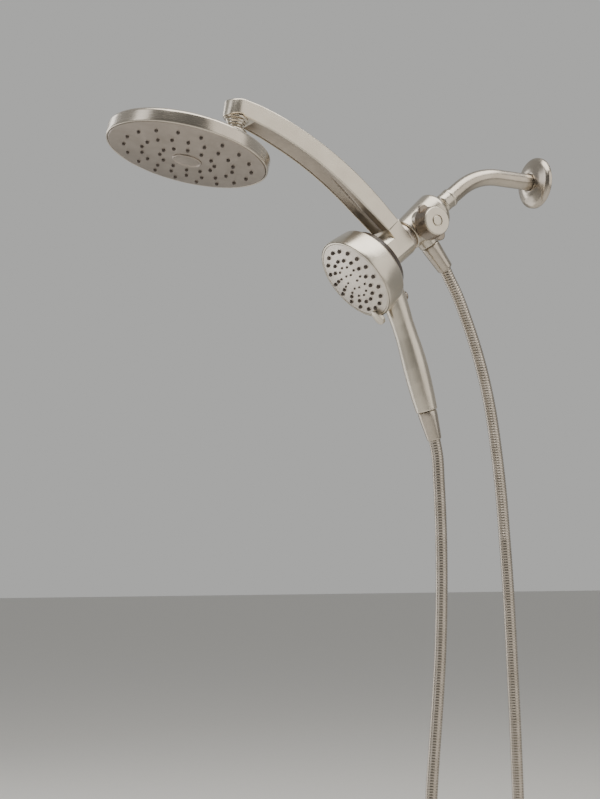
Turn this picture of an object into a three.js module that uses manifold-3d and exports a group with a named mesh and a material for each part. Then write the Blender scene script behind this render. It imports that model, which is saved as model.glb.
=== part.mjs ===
// Two-in-one shower set on one wall outlet: a bent supply pipe, a ball-jointed diverter with a side dial,
// an arched arm carrying a large flat shower head, and a hand shower docked under the arm on a metal hose.
// Units are millimetres. The wall is the plane Y = 0, the set hangs on its -Y side, +Z is up.
import * as THREE from 'three';
import { mergeVertices } from 'three/addons/utils/BufferGeometryUtils.js';
import Module from 'manifold-3d';

const wasm = await Module();
wasm.setup();

// ---------- driving dimensions ----------
const FIT = 0.3;                    // clearance between neighbouring solids
const DEG = Math.PI / 180;

const PIPE_R = 10.65;               // half-inch supply pipe
const PIPE_BORE_R = 7.9;
const PIPE_STRAIGHT = 63;           // wall to the start of the bend
const PIPE_BEND_R = 90;
const PIPE_DROP = 40;               // degrees below horizontal after the bend
const BEND_STEPS = 7;
const PIPE_END = 65;                // along the slanting axis, from the bend's corner

const FLANGE_R = 33;
const FLANGE_RIM = 5;               // straight edge of the flange
const FLANGE_RISE = 13;             // height of the whole dome

const BALL_AT = 93;                 // ball centre along the slanting axis
const BALL_R = 12.5;
const SEAT_WALL = 2.7;              // ball to the outside of its bearing ring
const SHANK_R = 8.6;
const CUP_START = 52.5;             // lip of the threaded cup on the pipe
const CUP_R = 12.1;
const BODY_START = 80;              // diverter body along the slanting axis
const BODY_END = 139.5;
const RETAINER_R = BALL_R + 5.9;    // nut that holds the ball in the body
const BODY_REAR_R = BALL_R + 12;
const BODY_FRONT_R = 20.2;
const JOINT_R = 19.8;               // ring between the diverter body and the arm block
const JOINT_END = 147.2;
const CROSS_AT = 118.5;             // the dial and the hose outlet cross the body here
const CROSS_DROP = 1.5;             // and this far below its axis
const OUTLET_END = 28.5;            // hose outlet shoulder below the slanting axis

const DIAL_BASE = BODY_REAR_R - 0.5; // distance of the dial's back from the symmetry plane
const DIAL_FACE = 44.5;
const DIAL_R = 18.6;
const DIAL_BASE_R = 21;             // the dial widens towards the diverter
const DRIVE_DEPTH = 9;              // dial face to the end of its square spindle
const WING_HALF = 5.6;              // two wings grip the dial across the slanting axis
const WING_REACH = 25;
const WING_BACK = 3.6;
const WING_THICK = 5.8;

const DOCK_R = 21.5;                // round block that joins the body, the arm and the dock
const DOCK_START = 147.5;
const DOCK_END = 186;

const ARM_WIDTH = 38;
const ARM_END_WIDTH = 34;
const ARM_WALL = 2.4;
const ARM_END_TILT = 9;             // degrees, the swivel post leans outward
const ARM_TOP = [                   // crest line of the arm from its outer end, as [Y, Z]
  [-453, 45.6], [-444, 46.6], [-434.5, 46.3], [-429, 45], [-416, 41.9], [-403, 37.9], [-389.5, 33.1], [-363, 21.8],
  [-336, 8.5], [-308, -8], [-280, -27.4], [-252, -50.6], [-225, -76],
];
const ARM_FOOT = [                  // cheeks between the arm and the dock block, [along, above] the main axis
  [147.5, -8], [173, -8], [167.5, 6.6], [168.6, 23.2], [147.5, 25.6],
];
const ARM_HEIGHTS = [18.6, 18.6, 18.6, 20.6, 22, 22.4, 22.4, 22.6, 22.9, 23.2, 23.6, 23, 20.5];

const POST_TOP = [-434.7, 44.5];
const POST_SINK = 1.6;              // the post's frame starts this far below the crest
const POST_R = 14.4;                // stepped post under the arm's outer end
const HEAD_BALL_DROP = 41;          // arm crest to ball centre
const HEAD_BALL_R = 10;
const HEAD_TILT = 13.1;
const HEAD_FACE = [-501.1, -26.3];  // centre of the big shower face, as [Y, Z]
const HEAD_R = 95.5;
const HEAD_RIM = 15;
const HEAD_DEPTH = 18;
const HEAD_FACE_R = 92.6;
// Nozzle rings as [count, ring radius, nozzle radius, turn in degrees].
const HEAD_RINGS = [[18, 76, 2.3, -6.5], [18, 54, 2.3, 4], [12, 32, 2.3, -6]];
const MEDAL_R = 17.5;

const HAND_FACE_AT = 235.4;         // hand shower face along the slanting axis
const HAND_R = 55;
const HAND_BACK_R = 51.5;
const HAND_BARREL_BACK = 204;
const REAR_RING_R = 46.6;           // dark trim ring behind the barrel
const HAND_FACE_R = 52.8;
const HAND_RINGS = [[18, 42, 2.7, -3], [15, 30, 2.5, 2], [12, 21, 1.5, -13], [6, 10.5, 1.5, 0]];
const HANDLE_LINE = [               // middle line of the handle, as [Y, Z]
  [-231, -150], [-222.5, -166], [-216, -182], [-209, -200], [-202.2, -217.5], [-196, -235], [-190.3, -253],
  [-185, -270.5], [-179.6, -288.5], [-174, -306.5],
];
const HANDLE_RADII = [14, 15.5, 15, 14, 14.2, 15.2, 15.8, 15.6, 14.9, 13.6];
const HANDLE_BORE_R = 5.4;

const NUT_LENGTH = 36.5;
const NUT_R = 12;
const NUT_TAIL_R = [10, 9];         // upper and lower hose nuts
const STUB_R = 9.2;                 // threaded stub inside a hose nut
const STUB_LENGTH = 11;

const HOSE_R = 7.5;
const HOSE_LINE = [                 // middle line of the hose from the outlet to the handle, as [Y, Z]
  [-139.5, -137], [-126.5, -159.5], [-112.5, -191], [-98.5, -227], [-87, -264], [-77.5, -305], [-70, -352],
  [-63.5, -405], [-59, -460], [-55, -515], [-52, -570], [-49.5, -625], [-47, -680], [-45, -735], [-43.5, -790],
  [-44, -840], [-51, -887], [-70, -925], [-100, -945], [-134, -938], [-159, -911], [-171.5, -868], [-174.5, -820],
  [-171.8, -768], [-166.8, -712], [-161.5, -655], [-157.2, -598], [-155, -540], [-154.4, -488], [-155.4, -436],
  [-157.3, -394], [-159.2, -362],
];

// ---------- solids ----------
// Welded, outward-facing copy of a geometry without collapsed triangles.
function tidy(geometry) {
  const source = geometry.clone();
  source.deleteAttribute('normal');
  source.deleteAttribute('uv');
  const welded = mergeVertices(source, 1e-4);
  const points = welded.attributes.position.array;
  const index = [];
  for (let i = 0; i < welded.index.count; i += 3) {
    const [a, b, c] = [welded.index.getX(i), welded.index.getX(i + 1), welded.index.getX(i + 2)];
    if (a !== b && b !== c && a !== c) {
      index.push(a, b, c);
    }
  }
  let volume = 0;
  for (let i = 0; i < index.length; i += 3) {
    const [a, b, c] = [index[i] * 3, index[i + 1] * 3, index[i + 2] * 3];
    volume += points[a] * (points[b + 1] * points[c + 2] - points[b + 2] * points[c + 1]);
    volume += points[a + 1] * (points[b + 2] * points[c] - points[b] * points[c + 2]);
    volume += points[a + 2] * (points[b] * points[c + 1] - points[b + 1] * points[c]);
  }
  if (volume < 0) {
    index.reverse();
  }
  const result = new THREE.BufferGeometry();
  result.setAttribute('position', new THREE.BufferAttribute(points, 3));
  result.setIndex(index);
  return result;
}

function solid(geometry) {
  const clean = tidy(geometry);
  return new wasm.Manifold(new wasm.Mesh({
    numProp: 3,
    vertProperties: new Float32Array(clean.attributes.position.array),
    triVerts: new Uint32Array(clean.index.array),
  }));
}

function surface(manifold) {
  const mesh = manifold.getMesh();
  const geometry = new THREE.BufferGeometry();
  geometry.setAttribute('position', new THREE.BufferAttribute(new Float32Array(mesh.vertProperties), 3));
  geometry.setIndex(Array.from(mesh.triVerts));
  return geometry;
}

// Body turned about Z from a closed or axis-to-axis outline of [radius, height] pairs.
function turned(outline, steps = 24) {
  const points = outline.map(([r, z]) => new THREE.Vector2(r, z));
  return tidy(new THREE.LatheGeometry(points, steps).rotateX(Math.PI / 2));
}

function ring(outer, inner, low, high, steps = 24) {
  return turned([[outer, low], [outer, high], [inner, high], [inner, low], [outer, low]], steps);
}

function rod(radius, low, high, steps = 16) {
  return turned([[0, low], [radius, low], [radius, high], [0, high]], steps);
}

// Skin over a row of closed outlines, with the same number of points in each.
function loft(sections, outline2d) {
  const count = sections[0].length;
  const positions = sections.flat().flatMap((p) => [p.x, p.y, p.z]);
  const index = [];
  for (let i = 0; i + 1 < sections.length; i += 1) {
    for (let j = 0; j < count; j += 1) {
      const a = i * count + j;
      const b = i * count + ((j + 1) % count);
      index.push(a, b, b + count, a, b + count, a + count);
    }
  }
  const last = (sections.length - 1) * count;
  for (const [a, b, c] of THREE.ShapeUtils.triangulateShape(outline2d, [])) {
    index.push(a, c, b, last + a, last + b, last + c);
  }
  const geometry = new THREE.BufferGeometry();
  geometry.setAttribute('position', new THREE.BufferAttribute(new Float32Array(positions), 3));
  geometry.setIndex(index);
  return tidy(geometry);
}

// Outline of a rounded rectangle or ellipse, as points around its centre.
function oval(halfWide, halfDeep, count, power = 1) {
  return Array.from({ length: count }, (_, i) => {
    const a = (i / count) * 2 * Math.PI;
    const [c, s] = [Math.cos(a), Math.sin(a)];
    return new THREE.Vector2(
      halfWide * Math.sign(c) * Math.abs(c) ** power,
      halfDeep * Math.sign(s) * Math.abs(s) ** power,
    );
  });
}

// ---------- frames in the symmetry plane ----------
// A frame's local Z runs outward and down at a tilt from straight down, its local X is world X.
function frame(origin, tilt) {
  const turn = new THREE.Matrix4().makeRotationX(Math.PI - tilt * DEG);
  return turn.setPosition(0, origin[0], origin[1]);
}

const corner = [-(PIPE_STRAIGHT + PIPE_BEND_R * Math.tan((PIPE_DROP * DEG) / 2)), 0];
const MAIN = frame(corner, 90 - PIPE_DROP);
// Every line drawn by hand above was set out for this corner, and moves along with the real one.
const DRAWN_CORNER = -(63 + 90 * Math.tan(20 * DEG));
const placed = ([y, z]) => [y + corner[0] - DRAWN_CORNER, z];
const armTop = ARM_TOP.map(placed);
const handleLine = HANDLE_LINE.map(placed);
const hoseLine = HOSE_LINE.map(placed);
const HEAD = frame(placed(HEAD_FACE), HEAD_TILT);
const POST = frame(placed(POST_TOP), ARM_END_TILT);
const postCap = ARM_HEIGHTS[2] - POST_SINK;
const ballPoint = new THREE.Vector3(0, 0, HEAD_BALL_DROP).applyMatrix4(POST);
const HEAD_BALL = frame([ballPoint.y, ballPoint.z], HEAD_TILT);
const headBallLocal = ballPoint.clone().applyMatrix4(HEAD.clone().invert());

const handleEnd = new THREE.Vector2(...handleLine.at(-1));
const handleBefore = new THREE.Vector2(...handleLine.at(-2));
const handleAim = handleEnd.clone().sub(handleBefore).normalize();
const HANDLE_END = frame([handleEnd.x, handleEnd.y], Math.atan2(-handleAim.x, -handleAim.y) / DEG);

const BUTTON_AT = [-206.7, -165.9];
const BUTTON = frame(placed(BUTTON_AT), 72 + 180);
const LOWER_NUT_GAP = 0.6;

// Places a part turned about Z so that its axis runs across the main axis: out of the dial or of the outlet.
const DIAL_FRAME = MAIN.clone()
  .multiply(new THREE.Matrix4().makeTranslation(0, -CROSS_DROP, CROSS_AT))
  .multiply(new THREE.Matrix4().makeRotationY(Math.PI / 2));
const OUTLET_FRAME = MAIN.clone()
  .multiply(new THREE.Matrix4().makeTranslation(0, 0, CROSS_AT))
  .multiply(new THREE.Matrix4().makeRotationX(Math.PI / 2));

// ---------- root pieces on the wall ----------
function wallFlange() {
  const bore = PIPE_R + 0.5;
  return turned([
    [FLANGE_R, 0], [FLANGE_R, FLANGE_RIM], [FLANGE_R - 1.5, FLANGE_RIM + 1.6], [FLANGE_R - 7, 9],
    [FLANGE_R - 14, 11.8], [bore, FLANGE_RISE], [bore, 8], [FLANGE_R - 9, 6], [FLANGE_R - 3, 3],
    [FLANGE_R - 3, 0], [FLANGE_R, 0],
  ], 28).rotateX(Math.PI / 2);
}

function supplyPipe() {
  const drop = PIPE_DROP * DEG;
  const start = new THREE.Vector3(0, -0.4, 0);
  const bendStart = new THREE.Vector3(0, -PIPE_STRAIGHT, 0);
  const along = new THREE.Vector3(0, -Math.cos(drop), -Math.sin(drop));
  const bendPoints = Array.from({ length: BEND_STEPS + 1 }, (_, i) => {
    const a = (i / BEND_STEPS) * drop;
    return new THREE.Vector3(0, bendStart.y - PIPE_BEND_R * Math.sin(a), -PIPE_BEND_R * (1 - Math.cos(a)));
  });
  const end = new THREE.Vector3(0, corner[0], 0).addScaledVector(along, PIPE_END);
  const stations = [start, ...bendPoints, end];
  const sections = (radius) => stations.map((p, i) => {
    const a = (Math.min(Math.max(i - 1, 0), BEND_STEPS) / BEND_STEPS) * drop;
    const up = new THREE.Vector3(0, -Math.sin(a), Math.cos(a));
    return oval(radius, radius, 14).map((q) => p.clone().addScaledVector(up, q.y).setX(q.x));
  });
  const outer = solid(loft(sections(PIPE_R), oval(PIPE_R, PIPE_R, 14)));
  const grown = sections(PIPE_BORE_R);
  grown[0].forEach((p) => { p.y += 1; });
  grown.at(-1).forEach((p) => { p.addScaledVector(along, 1); });
  return surface(outer.subtract(solid(loft(grown, oval(PIPE_BORE_R, PIPE_BORE_R, 14)))));
}

// Threaded cup over the pipe's end, a neck, and the ball that the whole set swings on.
function ballStem() {
  const cup = PIPE_R + FIT;
  const bore = 5;
  const reach = Math.sqrt(BALL_R ** 2 - SHANK_R ** 2);
  const ball = Array.from({ length: 6 }, (_, i) => {
    const from = Math.atan2(SHANK_R, -reach);
    const to = Math.atan2(bore, Math.sqrt(BALL_R ** 2 - bore ** 2));
    const a = from + ((to - from) * i) / 5;
    return [BALL_R * Math.sin(a), BALL_AT + BALL_R * Math.cos(a)];
  });
  return turned([
    [cup, CUP_START], [CUP_R, CUP_START], [CUP_R, CUP_START + 4], [CUP_R - 0.5, CUP_START + 5],
    [CUP_R - 0.5, CUP_START + 16.5], [SHANK_R, CUP_START + 20],
    ...ball, [bore, PIPE_END + 2.4], [cup, PIPE_END + 2.4], [cup, CUP_START],
  ], 20).applyMatrix4(MAIN);
}

function stemWasher() {
  return ring(PIPE_R - 0.4, 6, PIPE_END + 0.3, PIPE_END + 2.1, 20).applyMatrix4(MAIN);
}

// ---------- diverter ----------
// Bearing ring between two spheres round a ball joint's centre, so that it can turn both ways.
function roundSeat(inner, outer, start, end, at) {
  const arc = (radius, from, to) => Array.from({ length: 5 }, (_, i) => {
    const a = (from + ((to - from) * i) / 4) * DEG;
    return [radius * Math.sin(a), at + radius * Math.cos(a)];
  });
  const outline = [...arc(inner, start, end), ...arc(outer, end, start)];
  return turned([...outline, outline[0]], 20);
}

function ballSeat() {
  return roundSeat(BALL_R + FIT, BALL_R + SEAT_WALL, 35, 72, BALL_AT).applyMatrix4(MAIN);
}

function ballRetainer() {
  const inner = BALL_R + FIT;
  const lip = Array.from({ length: 3 }, (_, i) => {
    const a = (128 - i * 17) * DEG;
    return [inner * Math.sin(a), BALL_AT + inner * Math.cos(a)];
  });
  return turned([
    [lip[0][0] + 1.6, BODY_START + 1.5], [RETAINER_R, BODY_START + 1.5], [RETAINER_R, BALL_AT + 1.5],
    [lip.at(-1)[0] + 0.2, BALL_AT + 1.5],
    ...lip.reverse(), [lip.at(-1)[0] + 1.6, BODY_START + 1.5],
  ], 20).applyMatrix4(MAIN);
}

function diverterBody() {
  const seatRoom = BALL_R + SEAT_WALL + 0.4;
  const shell = turned([
    [0, BODY_START], [BODY_REAR_R - 5, BODY_START], [BODY_REAR_R - 1.9, BODY_START + 1.3],
    [BODY_REAR_R, BODY_START + 4.5], [BODY_FRONT_R, BODY_END - 1], [BODY_FRONT_R - 1, BODY_END], [0, BODY_END],
  ], 28).applyMatrix4(MAIN);
  const sideBoss = rod(DIAL_BASE_R - 1.5, 2, DIAL_BASE - FIT, 28).applyMatrix4(DIAL_FRAME);
  const outletBoss = turned([
    [0, 4], [12.6, 4], [12.6, OUTLET_END], [STUB_R, OUTLET_END],
    [STUB_R, OUTLET_END + STUB_LENGTH], [0, OUTLET_END + STUB_LENGTH],
  ], 20).applyMatrix4(OUTLET_FRAME);
  const rearPocket = turned([
    [0, BODY_START - 1], [RETAINER_R + FIT, BODY_START - 1], [RETAINER_R + FIT, BALL_AT + 1.9],
    [seatRoom, BALL_AT + 1.9], [seatRoom, BALL_AT + seatRoom - 1.6], [0, BALL_AT + seatRoom - 1.6],
  ], 20).applyMatrix4(MAIN);
  const chamber = rod(8.2, -14.5, DIAL_BASE + 1, 16).applyMatrix4(DIAL_FRAME);
  const throughBore = rod(6, BALL_AT + 5, BODY_END + 1, 10).applyMatrix4(MAIN);
  const outletBore = rod(5.5, 0, OUTLET_END + STUB_LENGTH + 1, 10).applyMatrix4(OUTLET_FRAME);
  const whole = solid(shell).add(solid(sideBoss)).add(solid(outletBoss));
  return surface(whole.subtract(solid(rearPocket)).subtract(solid(chamber)).subtract(solid(throughBore))
    .subtract(solid(outletBore)));
}

function jointRing() {
  return turned([
    [17, BODY_END + FIT], [17, BODY_END + 3], [JOINT_R, BODY_END + 3.4], [JOINT_R, JOINT_END - 0.8],
    [JOINT_R - 0.8, JOINT_END], [6, JOINT_END], [6, BODY_END + FIT], [17, BODY_END + FIT],
  ], 28).applyMatrix4(MAIN);
}

// ---------- dial ----------
function dialKnob() {
  const drum = turned([
    [0, DIAL_BASE], [DIAL_BASE_R, DIAL_BASE], [DIAL_BASE_R - 0.6, DIAL_BASE + 5], [DIAL_R, DIAL_FACE - 1.6],
    [DIAL_R - 1.6, DIAL_FACE], [0, DIAL_FACE],
  ], 28);
  const wings = new THREE.Shape(Array.from({ length: 16 }, (_, i) => {
    const a = ((i % 8) / 7) * Math.PI + (i < 8 ? 0 : Math.PI);
    const centre = (i < 8 ? 1 : -1) * (WING_REACH - WING_HALF);
    return new THREE.Vector2(WING_HALF * Math.cos(a), centre + WING_HALF * Math.sin(a));
  }));
  const bar = new THREE.ExtrudeGeometry(wings, { depth: WING_THICK, bevelEnabled: false });
  bar.translate(0, 0, DIAL_BASE + WING_BACK);
  const drivenEnd = DIAL_FACE - DRIVE_DEPTH;
  const seatBore = rod(6.4, DIAL_FACE - 3.4, DIAL_FACE + 1, 20);
  const drive = new THREE.BoxGeometry(8.6, 8.6, drivenEnd - DIAL_BASE + 2.5)
    .translate(0, 0, (drivenEnd + DIAL_BASE + 0.5) / 2);
  return surface(solid(drum).add(solid(bar)).subtract(solid(seatBore)).subtract(solid(drive)))
    .applyMatrix4(DIAL_FRAME);
}

function dialCap() {
  return turned([
    [0, DIAL_FACE - 3], [6, DIAL_FACE - 3], [6, DIAL_FACE - 0.2], [5.2, DIAL_FACE + 0.4], [0, DIAL_FACE + 0.6],
  ], 20).applyMatrix4(DIAL_FRAME);
}

function dialSpindle() {
  const barrel = rod(7.9, -14, DIAL_BASE - 2, 20);
  const port = rod(3, -9, 9, 10).rotateX(Math.PI / 2);
  const start = DIAL_BASE - 2.5;
  const end = DIAL_FACE - DRIVE_DEPTH;
  const square = new THREE.BoxGeometry(8, 8, end - start).translate(0, 0, (start + end) / 2);
  return surface(solid(barrel).add(solid(square)).subtract(solid(port))).applyMatrix4(DIAL_FRAME);
}

// ---------- arm and dock ----------
// Stations along the arm: crest point, direction along it and the direction down through its thickness.
function armStations() {
  return armTop.map(([y, z], i) => {
    const before = armTop[Math.max(i - 1, 0)];
    const after = armTop[Math.min(i + 1, armTop.length - 1)];
    const along = new THREE.Vector3(0, after[0] - before[0], after[1] - before[1]).normalize();
    const down = new THREE.Vector3(0, along.z, -along.y);
    return { point: new THREE.Vector3(0, y, z), down, height: ARM_HEIGHTS[i] };
  });
}

function armSection(station, halfWide, top, bottom) {
  const round = Math.min(2, halfWide / 3);
  const outline = [
    [-halfWide, bottom], [-halfWide, top + round], [-halfWide + round * 0.3, top + round * 0.3],
    [-halfWide + round, top], [halfWide - round, top], [halfWide - round * 0.3, top + round * 0.3],
    [halfWide, top + round], [halfWide, bottom],
  ];
  return outline.map(([x, d]) => station.point.clone().addScaledVector(station.down, d).setX(x));
}

const ARM_CAP = [[-3, 9], [-3, 2], [-2, 1], [-1, 0], [1, 0], [2, 1], [3, 2], [3, 9]]
  .map((p) => new THREE.Vector2(...p));

function armBody() {
  const stations = armStations().slice(2);
  const widthAt = (i) => THREE.MathUtils.lerp(ARM_END_WIDTH, ARM_WIDTH, Math.min(1, i / 4)) / 2;
  const outer = stations.map((s, i) => armSection(s, widthAt(i), 0, s.height));
  const inner = stations.map((s, i) => armSection(s, widthAt(i) - ARM_WALL, ARM_WALL, s.height + 6));
  const blade = solid(loft(outer, ARM_CAP));
  const hollow = solid(loft(inner, ARM_CAP));
  const end = solid(rod(ARM_END_WIDTH / 2, -POST_SINK, postCap, 24).applyMatrix4(POST));
  const block = solid(turned([
    [0, DOCK_START], [DOCK_R - 1, DOCK_START], [DOCK_R, DOCK_START + 1], [DOCK_R, DOCK_END - 1],
    [DOCK_R - 1, DOCK_END], [0, DOCK_END],
  ], 28).applyMatrix4(MAIN)).intersect(solid(new THREE.BoxGeometry(ARM_WIDTH, 1000, 1000)));
  const side = new THREE.Shape(ARM_FOOT.map(([s, y]) => new THREE.Vector2(s, y)));
  const cheek = new THREE.ExtrudeGeometry(side, { depth: ARM_WIDTH, bevelEnabled: false })
    .translate(0, 0, -ARM_WIDTH / 2).rotateY(-Math.PI / 2).applyMatrix4(MAIN);
  const waterBore = rod(6, DOCK_START - 1, 164, 12).applyMatrix4(MAIN);
  const riser = rod(5, 0, 30, 10).rotateX(-Math.PI / 2).translate(0, 0, 159).applyMatrix4(MAIN);
  const postBore = rod(6.2, 5, 30, 12).applyMatrix4(POST);
  const postRoom = rod(POST_R + 0.6 + FIT, postCap, 40, 24).applyMatrix4(POST);
  const magnetWell = rod(15.3, DOCK_END - 6.4, DOCK_END + 1, 20).applyMatrix4(MAIN);
  return surface(blade.add(end).subtract(hollow.subtract(end)).add(block).add(solid(cheek)).subtract(solid(waterBore))
    .subtract(solid(riser)).subtract(solid(postBore)).subtract(solid(postRoom)).subtract(solid(magnetWell)));
}

// Rounded water duct that fills the arm's channel from the dock block to the swivel post.
function armDuct() {
  const stations = armStations().slice(4);
  const shape = oval(13, 7.5, 12);
  const make = (scale, stretch) => stations.map((s, i) => {
    const end = i === 0 ? 3 - stretch : (i === stations.length - 1 ? stretch - 1 : 0);
    const along = new THREE.Vector3(0, -s.down.z, s.down.y);
    return shape.map((q) => s.point.clone().addScaledVector(s.down, ARM_WALL + 9 + q.y * scale)
      .addScaledVector(along, end).setX(q.x * scale));
  });
  return surface(solid(loft(make(1, 0), shape)).subtract(solid(loft(make(0.7, 2), shape))));
}

function dockMagnet() {
  return ring(15, 4, DOCK_END - 6.1, DOCK_END - 1.2, 24).applyMatrix4(MAIN);
}

function swivelPost() {
  const top = postCap + 2 * FIT;
  const reach = Math.sqrt(HEAD_BALL_R ** 2 - 36);
  const from = Math.atan2(6, -reach);
  const to = Math.atan2(3.5, Math.sqrt(HEAD_BALL_R ** 2 - 3.5 ** 2));
  const ball = Array.from({ length: 6 }, (_, i) => {
    const a = from + ((to - from) * i) / 5;
    return [HEAD_BALL_R * Math.sin(a), HEAD_BALL_DROP + HEAD_BALL_R * Math.cos(a)];
  });
  return turned([
    [3.5, 8], [5.9, 8], [5.9, top], [POST_R, top], [POST_R + 0.6, top + 2], [POST_R - 0.6, top + 4.6],
    [POST_R - 4, top + 6], [9, top + 7], [6, top + 9], ...ball, [3.5, 8],
  ], 20).applyMatrix4(POST);
}

// ---------- big shower head ----------
function headSeat() {
  return roundSeat(HEAD_BALL_R + FIT, HEAD_BALL_R + SEAT_WALL, 30, 66, 0).applyMatrix4(HEAD_BALL);
}

function headBallNut() {
  const inner = HEAD_BALL_R + FIT;
  const lip = Array.from({ length: 3 }, (_, i) => {
    const a = (128 - i * 16) * DEG;
    return [inner * Math.sin(a), inner * Math.cos(a)];
  });
  return turned([
    [lip[0][0] + 1, -8.5], [13.4, -8.5], [14.6, -7], [14.6, 1.7], [lip.at(-1)[0] + 0.4, 1.7], ...lip.reverse(),
    [lip.at(-1)[0] + 1, -8.5],
  ], 18).applyMatrix4(HEAD_BALL);
}

function headBackShell() {
  const wall = 2.2;
  const dish = turned([
    [0, -HEAD_DEPTH - 4], [50, -HEAD_DEPTH - 2.6], [80, -HEAD_DEPTH - 0.6], [HEAD_R - 3, -HEAD_DEPTH + 1],
    [HEAD_R, -HEAD_RIM], [HEAD_R, -1], [HEAD_R - 1, 0], [HEAD_FACE_R + 3 * FIT, 0],
    [HEAD_FACE_R + 3 * FIT, -HEAD_RIM], [50, -HEAD_DEPTH], [0, -HEAD_DEPTH - 4 + wall],
  ], 36);
  const [bossY, bossZ] = [headBallLocal.y, headBallLocal.z];
  const boss = turned([
    [0, -HEAD_DEPTH + 0.5], [26, -HEAD_DEPTH + 0.5], [24, -HEAD_DEPTH - 6], [18.5, bossZ + 1.2], [17.4, bossZ],
    [0, bossZ],
  ], 20).translate(0, bossY, 0);
  const pocket = turned([
    [0, bossZ + 12.2], [13.1, bossZ + 12.2], [13.1, bossZ + 2.2], [14.9, bossZ + 2], [14.9, bossZ - 1],
    [0, bossZ - 1],
  ], 18).translate(0, bossY, 0);
  const feed = rod(5, bossZ + 5, -HEAD_DEPTH + 6, 12).translate(0, bossY, 0);
  return surface(solid(dish).add(solid(boss)).subtract(solid(pocket)).subtract(solid(feed))).applyMatrix4(HEAD);
}

// Positions of nozzles on rings of [count, ring radius, nozzle radius, turn in degrees].
function nozzleSpots(rings) {
  return rings.flatMap(([count, radius, size, turn]) => Array.from({ length: count }, (_, i) => {
    const a = (i / count) * 2 * Math.PI + turn * DEG;
    return { x: radius * Math.cos(a), y: radius * Math.sin(a), size };
  }));
}

function outlineOf(radius, count, x = 0, y = 0) {
  return oval(radius, radius, count).map((p) => new THREE.Vector2(p.x + x, p.y + y));
}

// Flat round plate between two heights, with an optional centre hole and a hole at every spot.
function plate(outer, inner, spots, low, high) {
  const shape = new THREE.Shape(outlineOf(outer, 28));
  if (inner > 0) {
    shape.holes.push(new THREE.Path(outlineOf(inner, 20)));
  }
  for (const spot of spots) {
    shape.holes.push(new THREE.Path(outlineOf(spot.size, 5, spot.x, spot.y)));
  }
  return tidy(new THREE.ExtrudeGeometry(shape, { depth: high - low, bevelEnabled: false }).translate(0, 0, low));
}

function headFacePlate() {
  const spots = nozzleSpots(HEAD_RINGS).map((s) => ({ ...s, size: s.size + FIT }));
  return plate(HEAD_FACE_R, MEDAL_R + FIT, spots, -2, 1.2).applyMatrix4(HEAD);
}

function nozzle(radius, foot, tip) {
  return turned([[0, foot], [radius, foot], [radius * 0.7, tip], [0, tip]], 5);
}

function headNozzleMat() {
  let mat = solid(plate(HEAD_FACE_R - 3, MEDAL_R + 4, [], -4.6, -2.3));
  for (const s of nozzleSpots(HEAD_RINGS)) {
    mat = mat.add(solid(nozzle(s.size, -3, 2.8).translate(s.x, s.y, 0)));
  }
  return surface(mat).applyMatrix4(HEAD);
}

function headMedallion() {
  return turned([
    [0, -2], [MEDAL_R, -2], [MEDAL_R, 2.2], [MEDAL_R - 1.2, 2.7], [MEDAL_R - 2.4, 1.9], [0, 1.4],
  ], 32).applyMatrix4(HEAD);
}

function headChamberPlate() {
  return ring(HEAD_FACE_R - 4, 6, -12, -9.6, 32).applyMatrix4(HEAD);
}

// ---------- hand shower ----------
function handleSections(radii, grow) {
  return handleLine.map(([y, z], i) => {
    const before = handleLine[Math.max(i - 1, 0)];
    const after = handleLine[Math.min(i + 1, handleLine.length - 1)];
    const along = new THREE.Vector3(0, after[0] - before[0], after[1] - before[1]).normalize();
    const side = new THREE.Vector3(0, -along.z, along.y);
    const shift = i === handleLine.length - 1 ? grow : 0;
    const p = new THREE.Vector3(0, y, z).addScaledVector(along, shift);
    return oval(radii[i], radii[i], 14).map((q) => p.clone().addScaledVector(side, q.y).setX(q.x * 0.96));
  });
}

function handShell() {
  const f = HAND_FACE_AT;
  const head = turned([
    [0, DOCK_END + 0.8], [20, DOCK_END + 0.8], [32, DOCK_END + 3.6], [REAR_RING_R - 5, DOCK_END + 8],
    [REAR_RING_R - 5, HAND_BARREL_BACK], [HAND_BACK_R - 0.8, HAND_BARREL_BACK], [HAND_BACK_R, HAND_BARREL_BACK + 1],
    [HAND_R, f - 8], [HAND_R, f - 1.6], [HAND_R - 0.8, f - 0.4], [0, f - 0.4],
  ], 32).applyMatrix4(MAIN);
  const chamber = turned([
    [0, DOCK_END + 6.5], [24, DOCK_END + 7.5], [33, DOCK_END + 10.5], [REAR_RING_R - 7.5, HAND_BARREL_BACK + 2.4],
    [HAND_BACK_R - 3, HAND_BARREL_BACK + 2.4],
    [HAND_FACE_R + 1, f - 12], [HAND_FACE_R + 1, f + 2], [0, f + 2],
  ], 32).applyMatrix4(MAIN);
  const shape = oval(10, 10, 14);
  const grip = loft(handleSections(HANDLE_RADII, 0), shape);
  const bore = loft(handleSections(HANDLE_RADII.map(() => HANDLE_BORE_R), STUB_LENGTH + 2), shape);
  const stub = rod(STUB_R - 0.6, -2, STUB_LENGTH, 16).applyMatrix4(HANDLE_END);
  const well = rod(6.4, -12, 6, 16).applyMatrix4(BUTTON);
  return surface(solid(head).add(solid(grip)).add(solid(stub)).subtract(solid(chamber)).subtract(solid(bore))
    .subtract(solid(well)));
}

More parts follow.
